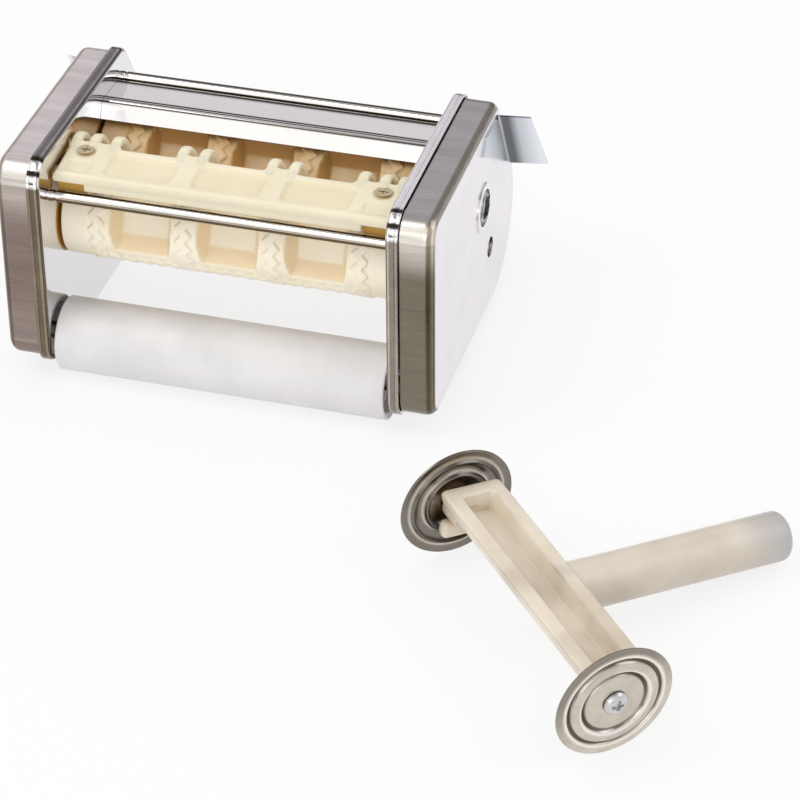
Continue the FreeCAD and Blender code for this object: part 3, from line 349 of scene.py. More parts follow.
def comb_skins(sizes):
    """The dough comb: a ribbed plate, a skirt under its front edge and the hooked fingers behind it.

    The plate's top rises from front to back and sinks in three panels between ribs, which wear a faint
    painted shade. Behind the panels it swells under each finger and reaches back further between the two
    fingers of a pair. Its edges fall away on a quarter circle. Behind each end of the skirt a tongue closes
    the gap over the drum's collar, painted with the amber shade of that gap.
    """
    pitch = sizes.rib_pitch * 1000
    half, front, back, crown, underside, skirt = 75.0, 13.0, 36.2, 90.5, 88.6, 61.5
    panel_half, panel_middle, panel_reach, corner, sink, edge_round = 15.4, 24.9, 7.5, 2.5, 1.8, 1.6
    x = crowded(half, (0.0, 0.15, 0.6, 1.3, 2.1), 324)
    t = np.concatenate([[0.0, 0.012, 0.04, 0.075], np.linspace(0.11, 0.92, 44), [0.95, 0.98, 0.995, 1.0]])
    X, T = np.meshgrid(x, t, indexing="ij")
    pairs = sum(soft_step(-np.abs(X - k * pitch), -6.4, 3.0) for k in (-1.5, -0.5, 0.5, 1.5))
    pairs = np.maximum(np.clip(pairs, 0, 1), soft_step(np.abs(X), 60.0, 3.0))
    back = back + 2.6 * pairs
    Y = front + (back - front) * T
    top = crown + (Y - 15.8) * 0.105 + 0.5 * mound(Y, 14.7, 1.1)
    panels = np.zeros(X.shape)
    for k in (-1, 0, 1):
        dx = np.abs(X - k * pitch - 0.3) - panel_half + corner
        dy = np.abs(Y - panel_middle) - panel_reach + corner
        rim = np.hypot(np.maximum(dx, 0), np.maximum(dy, 0)) - corner
        panels = np.maximum(panels, soft_step(-rim, 0.4, 2.0))
    for s in (-1, 1):
        nook = np.maximum(np.abs(X - s * 66.6) - 6.3, np.abs(Y - 20.6) - 4.2)
        panels = np.maximum(panels, 0.5 * soft_step(-nook, 0.4, 2.0))
        from_screw = np.hypot(X - s * 66.3, Y - 31.5)
        top = top - 0.5 * soft_step(-from_screw, -4.4, 0.7)
    top = top - sink * panels
    for place in FINGERS:
        flare = mound(X, place, 2.4 + 1.6 * soft_step(-Y, -34.5, 4.0))
        top = top + 1.3 * flare * soft_step(Y, 35.6, 4.5) * (np.abs(X) < half - 1.0)
    edge = np.minimum(np.minimum(half - np.abs(X), Y - front), back - Y)
    upper = top - edge_round * rounding(edge, edge_round)
    lower = np.where(Y < 17.0, 86.4, np.minimum(top - 2.4, underside))
    lower = np.where(edge <= 1e-6, upper - 0.8, lower)
    upper, lower = (np.stack([X, Y, z], axis=-1) for z in (upper, lower))
    loop = np.concatenate([upper, lower[:, ::-1]], axis=1)
    # A faint painted shade in the panels
    painted_panel_shade = 0.1 * np.pad(np.concatenate([panels, 0 * panels], axis=1), ((1, 1), (0, 0)))
    skins = [(leaned(close_ends(loop)), False, True, painted_panel_shade)]
    skins.append((leaned(rounded_slab((-skirt, skirt), (13.5, 16.4), (82.6, underside), 0.8)), False, True))
    # Hollow values of 1 give each tongue the full painted amber shade of the gap it closes
    for ends in ((-74.6, -61.2), (61.2, 74.6)):
        tongue = leaned(rounded_slab(ends, (16.6, 18.2), (79.8, underside), 0.5))
        skins.append((tongue, False, True, np.ones(tongue.shape[:2])))
    return skins + [(leaned(finger(place)), False, True) for place in FINGERS]


def finger(x):
    """One hooked finger: a rounded line that leaves the plate, rises and falls behind the drum.

    The line runs midway between the hook's outer and inner curves. Its section is a circle squared a little,
    which grows thinner and narrower toward the tip.
    """
    outer = [(33.0, 92.4), (36.4, 93.4), (39.6, 94.5), (43.0, 94.2), (46.6, 92.2), (50.0, 88.5), (53.2, 83.2),
             (55.4, 78.4), (56.6, 74.6)]
    inner = [(33.6, 89.6), (36.8, 90.4), (39.8, 91.0), (42.6, 90.5), (45.6, 88.5), (48.4, 85.0), (51.2, 80.6),
             (53.6, 77.2), (55.7, 74.5)]
    steps, square, wide, thinning = 41, 0.7, 2.35, 0.7
    outer, inner = (smoothed(refined(curve, steps), 3) for curve in (outer, inner))
    middle, reach = (outer + inner) / 2, (outer - inner) / 2
    wide = wide - thinning * np.linspace(0, 1, steps) ** 2
    a = np.linspace(0, 2 * math.pi, 28, endpoint=False)
    across, out = (np.sign(wave) * np.abs(wave) ** square for wave in (np.cos(a), np.sin(a)))
    grid = [x + wide[:, None] * across] + [middle[:, c:c + 1] + reach[:, c:c + 1] * out for c in (0, 1)]
    return close_ends(np.stack(grid, axis=-1))


def guide_skin():
    """The white guide roller: plain, with a small round at each rim and a shallow dish round its axle."""
    bore, flat, body, radius = 4.05, 70.0, 73.6, 16.4
    half = [(0.0, bore), (flat, bore), (flat, 12.6), (body, 13.4)] + arc(body, 15.5, 0.9, 0, 90, 5)
    half.append((0.0, radius))
    return (leaned(lathe(mirrored(half), GUIDE_AXIS, 128)), True, True)


def rod_skin(centre, radius):
    """A ground rod between the cheeks with a small neck at each shoulder."""
    neck = radius - 0.35
    half = [(0.0, radius), (73.6, radius), (73.9, neck), (74.6, neck), (74.9, radius), (CHEEK_INSIDE, radius)]
    return (leaned(close_ends(lathe(mirrored(half), centre, 48))), False, True)


def sheet_skin():
    """The sheet over the rear drum: one bent strip of steel with a rolled front edge and a turned down back.

    Its middle line is drawn through a few points and smoothed, and the two faces lie 0.45 mm to either side.
    """
    front_wall = [(74.4, 82.4), (75.6, 84.6), (76.9, 87.0), (77.6, 88.4)]
    rolled_edge = [(78.2, 89.2), (79.1, 89.7), (80.2, 89.75), (81.2, 89.45), (82.2, 89.3)]
    top = [(90.0, 88.9), (95.6, 88.58), (98.0, 88.2), (99.6, 87.8)]
    back = [(100.6, 87.3), (101.1, 85.6), (101.5, 84.1)]
    middle = front_wall + rolled_edge + top + back
    reach, half = 0.45, CHEEK_INSIDE - 0.1
    line = smoothed(refined(middle, 6 * len(middle) - 5), 12)
    step = np.gradient(line, axis=0)
    normal = np.stack([-step[:, 1], step[:, 0]], axis=-1) / np.linalg.norm(step, axis=1, keepdims=True)
    loop = np.concatenate([line + reach * normal, (line - reach * normal)[::-1]])
    return (leaned(close_ends(np.stack([ring(x, loop) for x in np.linspace(-half, half, 5)]))), False, True)


def cutter_bar():
    """The cutter's cross bar: a half round trough with softly rounded rims and a sunken floor.

    The section is the outer half circle, the two rims and the inner hollow, whose walls are soft steps.
    Toward each end the hollow rises to the rims on a soft step, and the section is drawn in at the very end.
    """
    half, shift, top, rim, sink, draw = 62.0, 3.2, 10.6, 13.5, 8.2, 0.09
    X = crowded(half, (0.0, 0.2, 0.7, 1.5, 2.6), 120)[:, None]
    bow = np.radians(np.linspace(184, 356, 44))
    u = crowded(1.0, (0.0, 0.005, 0.02, 0.045, 0.08), 52)[::-1]
    across = shift + u * rim
    opening = soft_step(54.4 - np.abs(X), 0.0, 2.6)
    walls = soft_step(across, shift - 6.3, 2.0) * soft_step(-across, -shift - 6.3, 3.6)
    inner = top - 1.5 * rounding(1 - np.abs(u), 0.12) - sink * opening * walls
    y = np.concatenate([shift + rim * np.cos(bow) + 0 * X, across + 0 * X], axis=1)
    z = np.concatenate([top + rim * np.sin(bow) + 0 * X, inner], axis=1)
    drawn = 1 - draw * rounding(half - np.abs(X), 1.4)
    core = top - 4.0
    grid = np.stack([X + 0 * y, shift + (y - shift) * drawn, core + (z - core) * drawn], axis=-1)
    return (laid(close_ends(grid)), False, True)


def cutter_grip():
    """The round handle: it spreads sideways where it grows out of the bar and ends in a soft round rim.

    Its centre line starts inside the bar's far wall, so that the hollow stays clear.
    """
    root, end, radius, rim = 10.4, 112.6, 10.5, 3.4
    stations = [(y, radius) for y in (root, 11.4, 12.6, 14.0, 15.8, 18.0, 22.0, 30.0, 60.0, 90.0, end)]
    line = np.array(stations + arc(end, radius - rim, rim, 90, 0, 8)[1:])
    a = np.linspace(0, 2 * math.pi, 72, endpoint=False)
    along, reach = line[:, :1], line[:, 1:]
    spread = 3.0 * np.exp(-(along - root) / 3.2)
    grid = np.stack([(reach + spread) * np.cos(a), along + 0 * a, reach * np.sin(a)], axis=-1)
    pale = 0.3 + 0.7 * np.pad(soft_step(line[:, 0], 105.0, 14.0), 1, mode="edge")[:, None] + 0 * a
    return (laid(close_ends(grid)), False, True, pale)


def cutter_hub(side):
    """The boss at one end of the bar that carries the wheel's screw, and the rounded foot below it."""
    profile = [(54.0, 6.6), (60.0, 7.0), (64.6, 7.0), (65.0, 6.8), (65.2, 6.3), (65.2, 2.4)]
    boss = (laid(close_ends(lathe([(side * x, r) for x, r in profile], (0.0, 0.0), 56))), False, True)
    low, high = sorted((side * 57.6, side * 63.6))
    foot = (laid(rounded_slab((low, high), (-9.0, 9.0), (-12.4, -4.6), 2.4)), False, True)
    return [boss, foot]


def wheel_skin(side):
    """A pressed cutter wheel: a thin disc with two rings raised in it, flat out to a fine edge.

    Its hollow values paint shade into the grooves, onto the side toward the bar and onto the upper part of
    the rim, and are negative on the two rings beside the grooves, where a highlight is painted.
    """
    bore, plane, thick, edge, turns = 3.1, 66.4, 0.75, 0.35, 144
    r = np.concatenate([[bore], np.linspace(bore + 0.5, WHEEL_RADIUS, 84)])
    rings = (mound(r, 13.6, 0.7), mound(r, 19.9, 0.7))
    face = 0.15 - 1.4 * sum(rings) + 0.9 * mound(r, 16.8, 2.0) - 0.6 * soft_step(r, 23.8, 3.0)
    out = [(side * (plane + f), q) for f, q in zip(face, r)]
    back = [(side * (plane + f - (thick if q < WHEEL_RADIUS - 0.1 else edge)), q) for f, q in zip(face, r)]
    # Painted shade in the grooves, and a painted highlight (negative values) on the rings beside them
    painted_shade_and_highlight = np.maximum(*rings) - 0.8 * (mound(r, 15.2, 0.6) + mound(r, 21.5, 0.6))
    # Painted shade on the whole side of the disc toward the bar
    painted_inner_shade = 0.95
    rows = np.concatenate([painted_shade_and_highlight, painted_inner_shade + painted_shade_and_highlight[::-1]])[:, None]
    rim = np.concatenate([soft_step(r, 22.6, 1.6), 0 * r])[:, None]
    # Painted shade on the upper part of the rim
    upper = np.clip(0.45 + np.sin(np.linspace(0, 2 * math.pi, turns, endpoint=False) - 0.4), 0, 1)
    return (laid(lathe(out + back[::-1], (0.0, 0.0), turns)), True, True, rows + 0.8 * rim * upper)


def pan_head(side):
    """A domed screw head with a cross recess: the dome's height less a soft cross pressed in its middle."""
    seat, radius, rise, tilt, slim = 66.9, 5.2, 2.6, 0.5, 3.2
    r, a = np.linspace(0, radius, 26), np.linspace(0, 2 * math.pi, 96, endpoint=False)
    R, A = np.meshgrid(r, a, indexing="ij")
    Y, Z = R * np.cos(A + tilt), R * np.sin(A + tilt)
    dome = rise - 1.9 * (R / radius) ** 4
    arm = np.minimum(np.maximum(np.abs(Y), np.abs(Z) * slim), np.maximum(np.abs(Z), np.abs(Y) * slim))
    recess = 1.5 * soft_step(-arm, -2.5, 0.7)
    rim = np.stack([np.full(Y[-1].shape, side * seat), Y[-1], Z[-1]], axis=-1)
    grid = np.concatenate([np.stack([side * (seat + dome - recess), Y, Z], axis=-1), rim[None],
                           (rim * [1, 0.0, 0.0])[None]])
    shank = [(54.4, 0.0), (54.4, 2.0), (65.2, 2.0), (65.2, 3.0), (seat, 3.0), (seat, 0.0)]
    shank = lathe([(side * x, r) for x, r in shank], (0.0, 0.0), 40)
    return [(laid(grid), False, True), (laid(shank), False, True)]


# Finishes

GRAIN = "brushed grain"
MARKS = "handling marks"
WHITE = (1.0, 1.0, 1.0)
EVEN = [(0.0, WHITE), (1.0, WHITE)]


def feed(tree, socket, value):
    """Links another node's socket to this one, or sets it to a plain value. A colour comes without alpha."""
    if isinstance(value, bpy.types.NodeSocket):
        tree.links.new(value, socket)
    else:
        socket.default_value = (*value, 1.0) if socket.type == "RGBA" else value


def node(tree, kind, place, inputs=None, **settings):
    """Adds a shader node at a place in the tree, sets its properties and feeds its inputs."""
    made = tree.nodes.new(kind)
    made.location = place
    for name, value in settings.items():
        setattr(made, name, value)
    for name, value in (inputs or {}).items():
        feed(tree, made.inputs[name], value)
    return made


def maths(tree, operation, place, *values):
    """The result of a math node for sockets or plain numbers."""
    return node(tree, "ShaderNodeMath", place, dict(enumerate(values)), operation=operation).outputs[0]


def mix(tree, factor, first, second, place, way="MIX"):
    """Two colours mixed by a factor."""
    inputs = {0: factor, 6: first, 7: second}
    return node(tree, "ShaderNodeMix", place, inputs, data_type="RGBA", blend_type=way).outputs[2]


def remap(tree, value, low, high, place, from_low=0.0, from_high=1.0):
    """Stretches a value from its old range to the range from low to high, and keeps it in that range."""
    inputs = {"Value": value, "From Min": from_low, "From Max": from_high, "To Min": low, "To Max": high}
    return node(tree, "ShaderNodeMapRange", place, inputs).outputs["Result"]


def colour_bands(tree, value, bands, place):
    """A colour ramp from a list of (position, colour)."""
    ramp = node(tree, "ShaderNodeValToRGB", place, {"Fac": value})
    stops = ramp.color_ramp.elements
    while len(stops) < len(bands):
        stops.new(1.0)
    for stop, (position, colour) in zip(stops, bands):
        stop.position = position
        stop.color = (*colour, 1.0)
    return ramp.outputs["Color"]


def split(tree, vector, place):
    """The three parts of a vector, by name."""
    return node(tree, "ShaderNodeSeparateXYZ", place, {0: vector}).outputs


def turn_over(tree, parts, place):
    """The turn of a direction from the front (0) over the top (a right angle) to the back."""
    x, y = place
    ahead = maths(tree, "MULTIPLY", (x, y), parts["Y"], -1.0)
    return maths(tree, "ARCTAN2", (x + 150, y), parts["Z"], ahead)


def shared_effect(name, scale, standard, *outputs):
    """A new node group with a vector, a scale and outputs; gives the group and its two inputs."""
    group = bpy.data.node_groups.new(name, "ShaderNodeTree")
    face = group.interface
    face.new_socket("Vector", in_out="INPUT", socket_type="NodeSocketVector")
    face.new_socket(scale, in_out="INPUT", socket_type="NodeSocketFloat").default_value = standard
    for output in outputs:
        face.new_socket(output, in_out="OUTPUT", socket_type="NodeSocketFloat")
    source = node(group, "NodeGroupInput", (-800, 0)).outputs
    return group, source["Vector"], source[scale]


def grain_group():
    """Shared effect: a fine noise for lines, where coordinates are squeezed, and a wide one for clouds."""
    group, vector, fine = shared_effect(GRAIN, "Lines per metre", 900.0, "Grain", "Cloud")
    wider = maths(group, "DIVIDE", (-400, -160), fine, 9.0)
    lines = node(group, "ShaderNodeTexNoise", (-200, 120),
                 {"Vector": vector, "Scale": fine, "Detail": 3.0, "Roughness": 0.65})
    cloud = node(group, "ShaderNodeTexNoise", (-200, -160),
                 {"Vector": vector, "Scale": wider, "Detail": 4.0})
    node(group, "NodeGroupOutput", (400, 0), {"Grain": lines.outputs["Fac"], "Cloud": cloud.outputs["Fac"]})


def handling_group():
    """Shared effect: faint smudges from handling, as a mask from a broad noise."""
    group, vector, size = shared_effect(MARKS, "Smudges per metre", 60.0, "Smudge")
    broad = node(group, "ShaderNodeTexNoise", (-500, 120), {"Vector": vector, "Scale": size, "Detail": 5.0})
    smudge = remap(group, broad.outputs["Fac"], 0.0, 1.0, (-200, 120), 0.4, 0.7)
    node(group, "NodeGroupOutput", (400, 0), {"Smudge": smudge})


def start(name, inputs):
    """A new material whose Principled shader has these plain inputs."""
    mat = bpy.data.materials.new(name)
    mat.use_nodes = True
    shader = mat.node_tree.nodes["Principled BSDF"]
    for socket, value in inputs.items():
        feed(mat.node_tree, shader.inputs[socket], value)
    return mat.node_tree, shader


def dress(tree, shader, colour, rough, height=None, strength=0.0):
    """Feeds the shader's colour, its roughness and, through a bump of 0.2 mm at most, its normal."""
    feed(tree, shader.inputs["Base Color"], colour)
    feed(tree, shader.inputs["Roughness"], rough)
    if height:
        inputs = {"Height": height, "Strength": strength, "Distance": 0.0002}
        bump = node(tree, "ShaderNodeBump", (-300, -350), inputs)
        feed(tree, shader.inputs["Normal"], bump.outputs["Normal"])


def coordinates(tree):
    """The object coordinates and the normal of a point."""
    return node(tree, "ShaderNodeTexCoord", (-2100, 0)).outputs


def recess(tree, place):
    """A point's hollow values: the mask for painted shade, for a painted highlight where negative and for the
    handle's grey.
    """
    return node(tree, "ShaderNodeAttribute", place, attribute_name="hollow").outputs["Fac"]


def smudges(tree, where):
    """The shared handling marks."""
    marks = node(tree, "ShaderNodeGroup", (-800, -200), node_tree=bpy.data.node_groups[MARKS])
    feed(tree, marks.inputs["Vector"], where["Object"])
    return marks.outputs["Smudge"]


def grained(tree, where, squeeze, lines):
    """The shared grain, stretched along each axis by its squeeze."""
    squeezed = node(tree, "ShaderNodeMapping", (-1000, 0), {"Vector": where["Object"], "Scale": squeeze})
    inputs = {"Vector": squeezed.outputs["Vector"], "Lines per metre": lines}
    return node(tree, "ShaderNodeGroup", (-800, 100), inputs, node_tree=bpy.data.node_groups[GRAIN]).outputs


def steel(name, light, dark, rough, squeeze, lines, depth):
    """Steel with a grain from dark to light. Recesses get a painted shade, raised rings a painted highlight.
    """
    painted_highlight, painted_shade_and_grey, dulling = (0.95, 0.93, 0.9), tuple(0.2 * c for c in dark), 0.25
    tree, shader = start(name, {"Metallic": 1.0})
    where = coordinates(tree)
    grain, low = grained(tree, where, squeeze, lines)["Grain"], recess(tree, (-700, 450))
    metal = mix(tree, grain, dark, light, (-500, 200))
    # Painted highlight where the hollow values are negative, painted shade where they are positive
    metal = mix(tree, remap(tree, low, 1.0, 0.0, (-500, 400), -1.0, 0.0), metal, painted_highlight, (-300, 200))
    metal = mix(tree, remap(tree, low, 0.0, 0.8, (-300, 450)), metal, painted_shade_and_grey, (-100, 300))
    worn = maths(tree, "MULTIPLY_ADD", (-600, -100), smudges(tree, where), dulling, grain)
    dress(tree, shader, metal, remap(tree, worn, rough * 0.7, rough * 1.5, (-400, -100)), grain, depth)


def steel_with_painted_reflections(name, bands, aside, face, rough, squeeze, lines, mottle, lift=()):
    """Steel with painted reflections: its tone follows the way it looks, as polished rods, rims and flanges
    do under one wide light.

    Bands give the painted tone for the turn from down (0) past front (1/3) and up (2/3) to the back (1).
    Aside darkens or lightens it toward the sides, and face is the painted tone of what looks straight aside.
    A grain stretched by squeeze mottles it. Lift is a list of (height in metres, shift), which moves the
    bands with the height, so that the painted highlight of a bend can reach downward.
    """
    tree, shader = start(name, {"Metallic": 1.0})
    where = coordinates(tree)
    parts = split(tree, where["Normal"], (-1900, 600))
    turn = remap(tree, turn_over(tree, parts, (-1750, 700)), 0.0, 1.0, (-1400, 700), -math.pi / 2, math.pi)
    outward = maths(tree, "ABSOLUTE", (-1600, 500), parts["X"])
    if lift:
        low, high = lift[0][0], lift[-1][0]
        height = split(tree, where["Object"], (-1900, 300))["Z"]
        share = remap(tree, height, 0.0, 1.0, (-1700, 300), low, high)
        shifts = [((z - low) / (high - low), (shift, shift, shift)) for z, shift in lift]
        turn = maths(tree, "ADD", (-1200, 500), turn, colour_bands(tree, share, shifts, (-1500, 300)))
    tone = mix(tree, 1.0, colour_bands(tree, turn, bands, (-900, 600)),
               colour_bands(tree, outward, aside, (-900, 300)), (-600, 500), "MULTIPLY")
    grain = grained(tree, where, squeeze, lines)
    streaks = maths(tree, "ADD", (-500, -50), grain["Grain"], grain["Cloud"])
    mottled = mix(tree, remap(tree, streaks, 0.0, 1.0, (-300, -50), 0.6, 1.4), (1 - mottle,) * 3,
                  (1 + mottle,) * 3, (-100, -50))
    tone = mix(tree, 1.0, tone, mottled, (-400, 500), "MULTIPLY")
    tone = mix(tree, remap(tree, outward, 0.0, 1.0, (-550, 100), 0.93, 0.985), tone, face, (-200, 400))
    shine = remap(tree, smudges(tree, where), 0.8 * rough, 1.2 * rough, (-300, -250))
    dress(tree, shader, tone, shine, grain["Grain"], 0.3 * rough)


def cover_steel(side, front, top, lift):
    """Brushed steel of an end cover with painted reflections: dark in front and on top, bright aside and at
    the bend between them.
    """
    # glow is the painted highlight of the bend; the aside bands paint the outer rounding's light and dark
    # lines
    glow = (0.78, 0.735, 0.67)
    bands = [(0.0, front), (0.362, front), (0.405, glow), (0.58, glow), (0.655, top), (0.78, top),
             (0.86, glow), (0.96, front)]
    aside = [(0.0, WHITE), (0.18, WHITE), (0.36, (0.52, 0.47, 0.40)), (0.62, (0.52, 0.48, 0.42)),
             (0.76, (1.0, 0.97, 0.92)), (0.9, (0.6, 0.56, 0.52))]
    steel_with_painted_reflections(side + " cover steel", bands, aside, face=(0.84, 0.81, 0.84), rough=0.3,
                squeeze=(0.05, 1.0, 1.0), lines=1100.0, mottle=0.2, lift=lift)


def frame_steel(side, front, top):
    """Polished steel of a cheek with painted reflections: dark on the flange in front, black and white bands
    at its corner.
    """
    white, black = (0.97, 0.96, 0.95), (0.03, 0.025, 0.02)
    bands = [(0.0, front), (0.362, front), (0.39, white), (0.455, white), (0.475, black), (0.505, black),
             (0.525, white), (0.585, white), (0.605, black), (0.63, black), (0.66, top), (0.80, top),
             (0.92, front)]
    # bright and dusk paint a highlight and a shade across the rounded side
    bright, dusk = (1.9, 1.9, 1.9), (0.3, 0.28, 0.26)
    aside = [(0.0, WHITE), (0.12, WHITE), (0.2, bright), (0.5, bright), (0.62, dusk), (0.8, WHITE)]
    steel_with_painted_reflections(side + " frame steel", bands, aside, face=(0.79, 0.78, 0.80), rough=0.1, squeeze=(1, 1, 1),
                lines=700.0, mottle=0.22)


def rod_steel():
    """Chromed rod with painted reflections: a white band along it between dark ones, and a warm band low in
    front.
    """
    white, dark = (1.0, 0.985, 0.95), (0.085, 0.065, 0.04)
    warm, brown = (0.8, 0.68, 0.53), (0.12, 0.085, 0.05)
    bands = [(0.0, warm), (0.205, warm), (0.25, brown), (0.345, brown), (0.38, (0.60, 0.50, 0.41)),
             (0.42, (0.85, 0.80, 0.74)), (0.45, white), (0.585, white), (0.635, dark), (0.725, dark),
             (0.80, (0.55, 0.52, 0.5)), (0.97, white)]
    steel_with_painted_reflections("rod steel", bands, EVEN, face=(0.7, 0.69, 0.68), rough=0.11, squeeze=(0.3, 1, 1),
                lines=500.0, mottle=0.14)


def sheet_steel():
    """Bent bright sheet with painted reflections: white wall, black and white lines at its rolled edge and a
    soft grey top.
    """
    white, pale = (1.0, 0.99, 0.985), (0.9, 0.86, 0.84)
    black, dusk = (0.05, 0.04, 0.03), (0.09, 0.08, 0.07)
    bands = [(0.0, (0.6, 0.56, 0.52)), (0.36, (0.7, 0.66, 0.6)), (0.43, white), (0.475, white),
             (0.50, black), (0.535, black), (0.565, white), (0.61, white), (0.635, dusk), (0.668, dusk),
             (0.69, pale), (0.703, pale), (0.716, black), (1.0, black)]
    steel_with_painted_reflections("sheet steel", bands, EVEN, face=(0.5, 0.48, 0.46), rough=0.1, squeeze=(0.3, 1, 1),
                lines=500.0, mottle=0.05)


def wing_steel():
    """Thin bright steel of the wing brackets, with a painted dark reflection along the bend between the flat
    leaf and the flare.
    """
    tree, shader = start("wing steel", {"Metallic": 1.0})
    where = coordinates(tree)
    parts = split(tree, where["Object"], (-1000, 200))
    from_middle = maths(tree, "ADD", (-800, 200), parts["X"], float(SOCKET_MOUTH[0]) / 1000)
    out = maths(tree, "ABSOLUTE", (-650, 200), from_middle)
    share = remap(tree, out, 0.0, 1.0, (-500, 200), 0.0966, 0.1104)
    leaf, bend, mid, rim = (0.60, 0.63, 0.69), (0.12, 0.12, 0.135), (0.52, 0.55, 0.59), (0.80, 0.82, 0.86)
    bands = [(0.0, leaf), (0.06, leaf), (0.12, bend), (0.27, bend), (0.48, mid), (0.9, rim)]
    shine = remap(tree, smudges(tree, where), 0.10, 0.22, (-400, -200))
    dress(tree, shader, colour_bands(tree, share, bands, (-300, 200)), shine)


def moulded(name, colour, shade, painted_shade_and_grey, painted_fold_shade, rough, gloss, glow, reach):
    """Moulded plastic: soft clouds of a second tint, a painted shade for recesses, which on the handle is a
    grey along its grip, and a painted warm shade in its folds.

    Light that has passed through the plastic makes corners and gaps warmer. It is painted into the colour:
    the share of open room within reach of a point mixes the fold shade in.
    """
    tree, shader = start(name, {"Subsurface Weight": glow, "Subsurface Radius": (1.0, 0.75, 0.45),
                                "Subsurface Scale": 0.003, "Coat Weight": gloss, "Coat Roughness": 0.22})
    point = coordinates(tree)["Object"]
    clouds = node(tree, "ShaderNodeTexNoise", (-900, 200), {"Vector": point, "Scale": 42.0, "Detail": 3.0})
    skin = node(tree, "ShaderNodeTexNoise", (-900, -200), {"Vector": point, "Scale": 900.0, "Detail": 2.0})
    room = node(tree, "ShaderNodeAmbientOcclusion", (-700, 500), {"Distance": reach}, samples=12)
    cloudy = remap(tree, clouds.outputs["Fac"], 0.0, 1.0, (-700, 200), 0.4, 0.7)
    tone = mix(tree, cloudy, colour, shade, (-500, 200))
    # Painted shade in recesses by the hollow values; on the handle, a grey along the grip
    tone = mix(tree, recess(tree, (-500, 0)), tone, painted_shade_and_grey, (-400, 100))
    # Painted shade: the less room is open around a point, the more of the fold shade it gets
    open_room = remap(tree, room.outputs["AO"], 0.0, 1.0, (-500, 500), 0.15, 0.5)
    tone = mix(tree, open_room, painted_fold_shade, tone, (-300, 300))
    grain = skin.outputs["Fac"]
    dress(tree, shader, tone, remap(tree, grain, rough * 0.85, rough * 1.2, (-500, -100)), grain, 0.12)


# Plain steels: light and dark tone, roughness, squeeze of the grain, lines per metre and depth of the grain
STEELS = {
    "polished steel": ((0.86, 0.85, 0.87), (0.72, 0.71, 0.72), 0.09, (1, 1, 1), 260.0, 0.02),
    "machined steel": ((0.66, 0.66, 0.66), (0.46, 0.46, 0.46), 0.32, (4, 1, 1), 500.0, 0.1),
    "wheel steel": ((0.76, 0.71, 0.63), (0.45, 0.395, 0.325), 0.2, (1, 1, 1), 110.0, 0.06),
    "bush brass": ((0.72, 0.52, 0.24), (0.55, 0.38, 0.15), 0.3, (1, 1, 1), 400.0, 0.1),
    "yellow screw": ((0.84, 0.73, 0.50), (0.52, 0.42, 0.25), 0.2, (1, 1, 1), 500.0, 0.1),
    "bright screw": ((0.72, 0.71, 0.71), (0.52, 0.52, 0.53), 0.24, (1, 1, 1), 500.0, 0.1),
}
NODE_FINISHES = {
    "polished steel": ["drive_ring"],
    "wing steel": ["left_wing_bracket", "right_wing_bracket"],
    "left cover steel": ["left_end_cover"],
    "right cover steel": ["right_end_cover"],
    "machined steel": ["front_roller_shaft", "rear_drive_shaft", "front_gear", "rear_gear",
                       "front_shaft_clips", "rear_shaft_clip", "rod_nuts", "comb_tabs", "cover_posts"],
    "bush brass": ["left_roller_bushes", "right_roller_bushes"],
    "yellow screw": ["comb_screws"],
    "bright screw": ["cover_screws"],
}


class RavioliSizes(bpy.types.PropertyGroup):
    """Sizes of the moulded drums."""
    drum_radius: bpy.props.FloatProperty(name="Drum radius", description="Radius of the drum's plain core",
                                         default=0.0204, unit="LENGTH")
    rib_radius: bpy.props.FloatProperty(name="Rib radius", description="Radius over the zigzag sealing ribs",
                                        default=0.02155, unit="LENGTH")
    rib_pitch: bpy.props.FloatProperty(name="Rib pitch", description="Distance between two round ribs",
                                       default=0.0394, unit="LENGTH")
    pocket_turn: bpy.props.FloatProperty(name="Pocket turn", default=72.0,
                                         description="Where the first pocket faces, in degrees")


class RavioliColours(bpy.types.PropertyGroup):
    """Colours of the plastic pieces."""
    cream: bpy.props.FloatVectorProperty(name="Cream", description="Dough comb", subtype="COLOR", size=3,
                                         default=(0.83, 0.76, 0.575), min=0.0, max=1.0)
    cream_shade: bpy.props.FloatVectorProperty(name="Cream shade", description="Darker clouds in the cream",
                                               subtype="COLOR", size=3, default=(0.79, 0.71, 0.51), min=0.0,
                                               max=1.0)
    ivory: bpy.props.FloatVectorProperty(name="Ivory", description="Cutter handle", subtype="COLOR", size=3,
                                         default=(0.76, 0.675, 0.55), min=0.0, max=1.0)
    white: bpy.props.FloatVectorProperty(name="White", description="Guide roller", subtype="COLOR", size=3,
                                         default=(0.775, 0.76, 0.755), min=0.0, max=1.0)


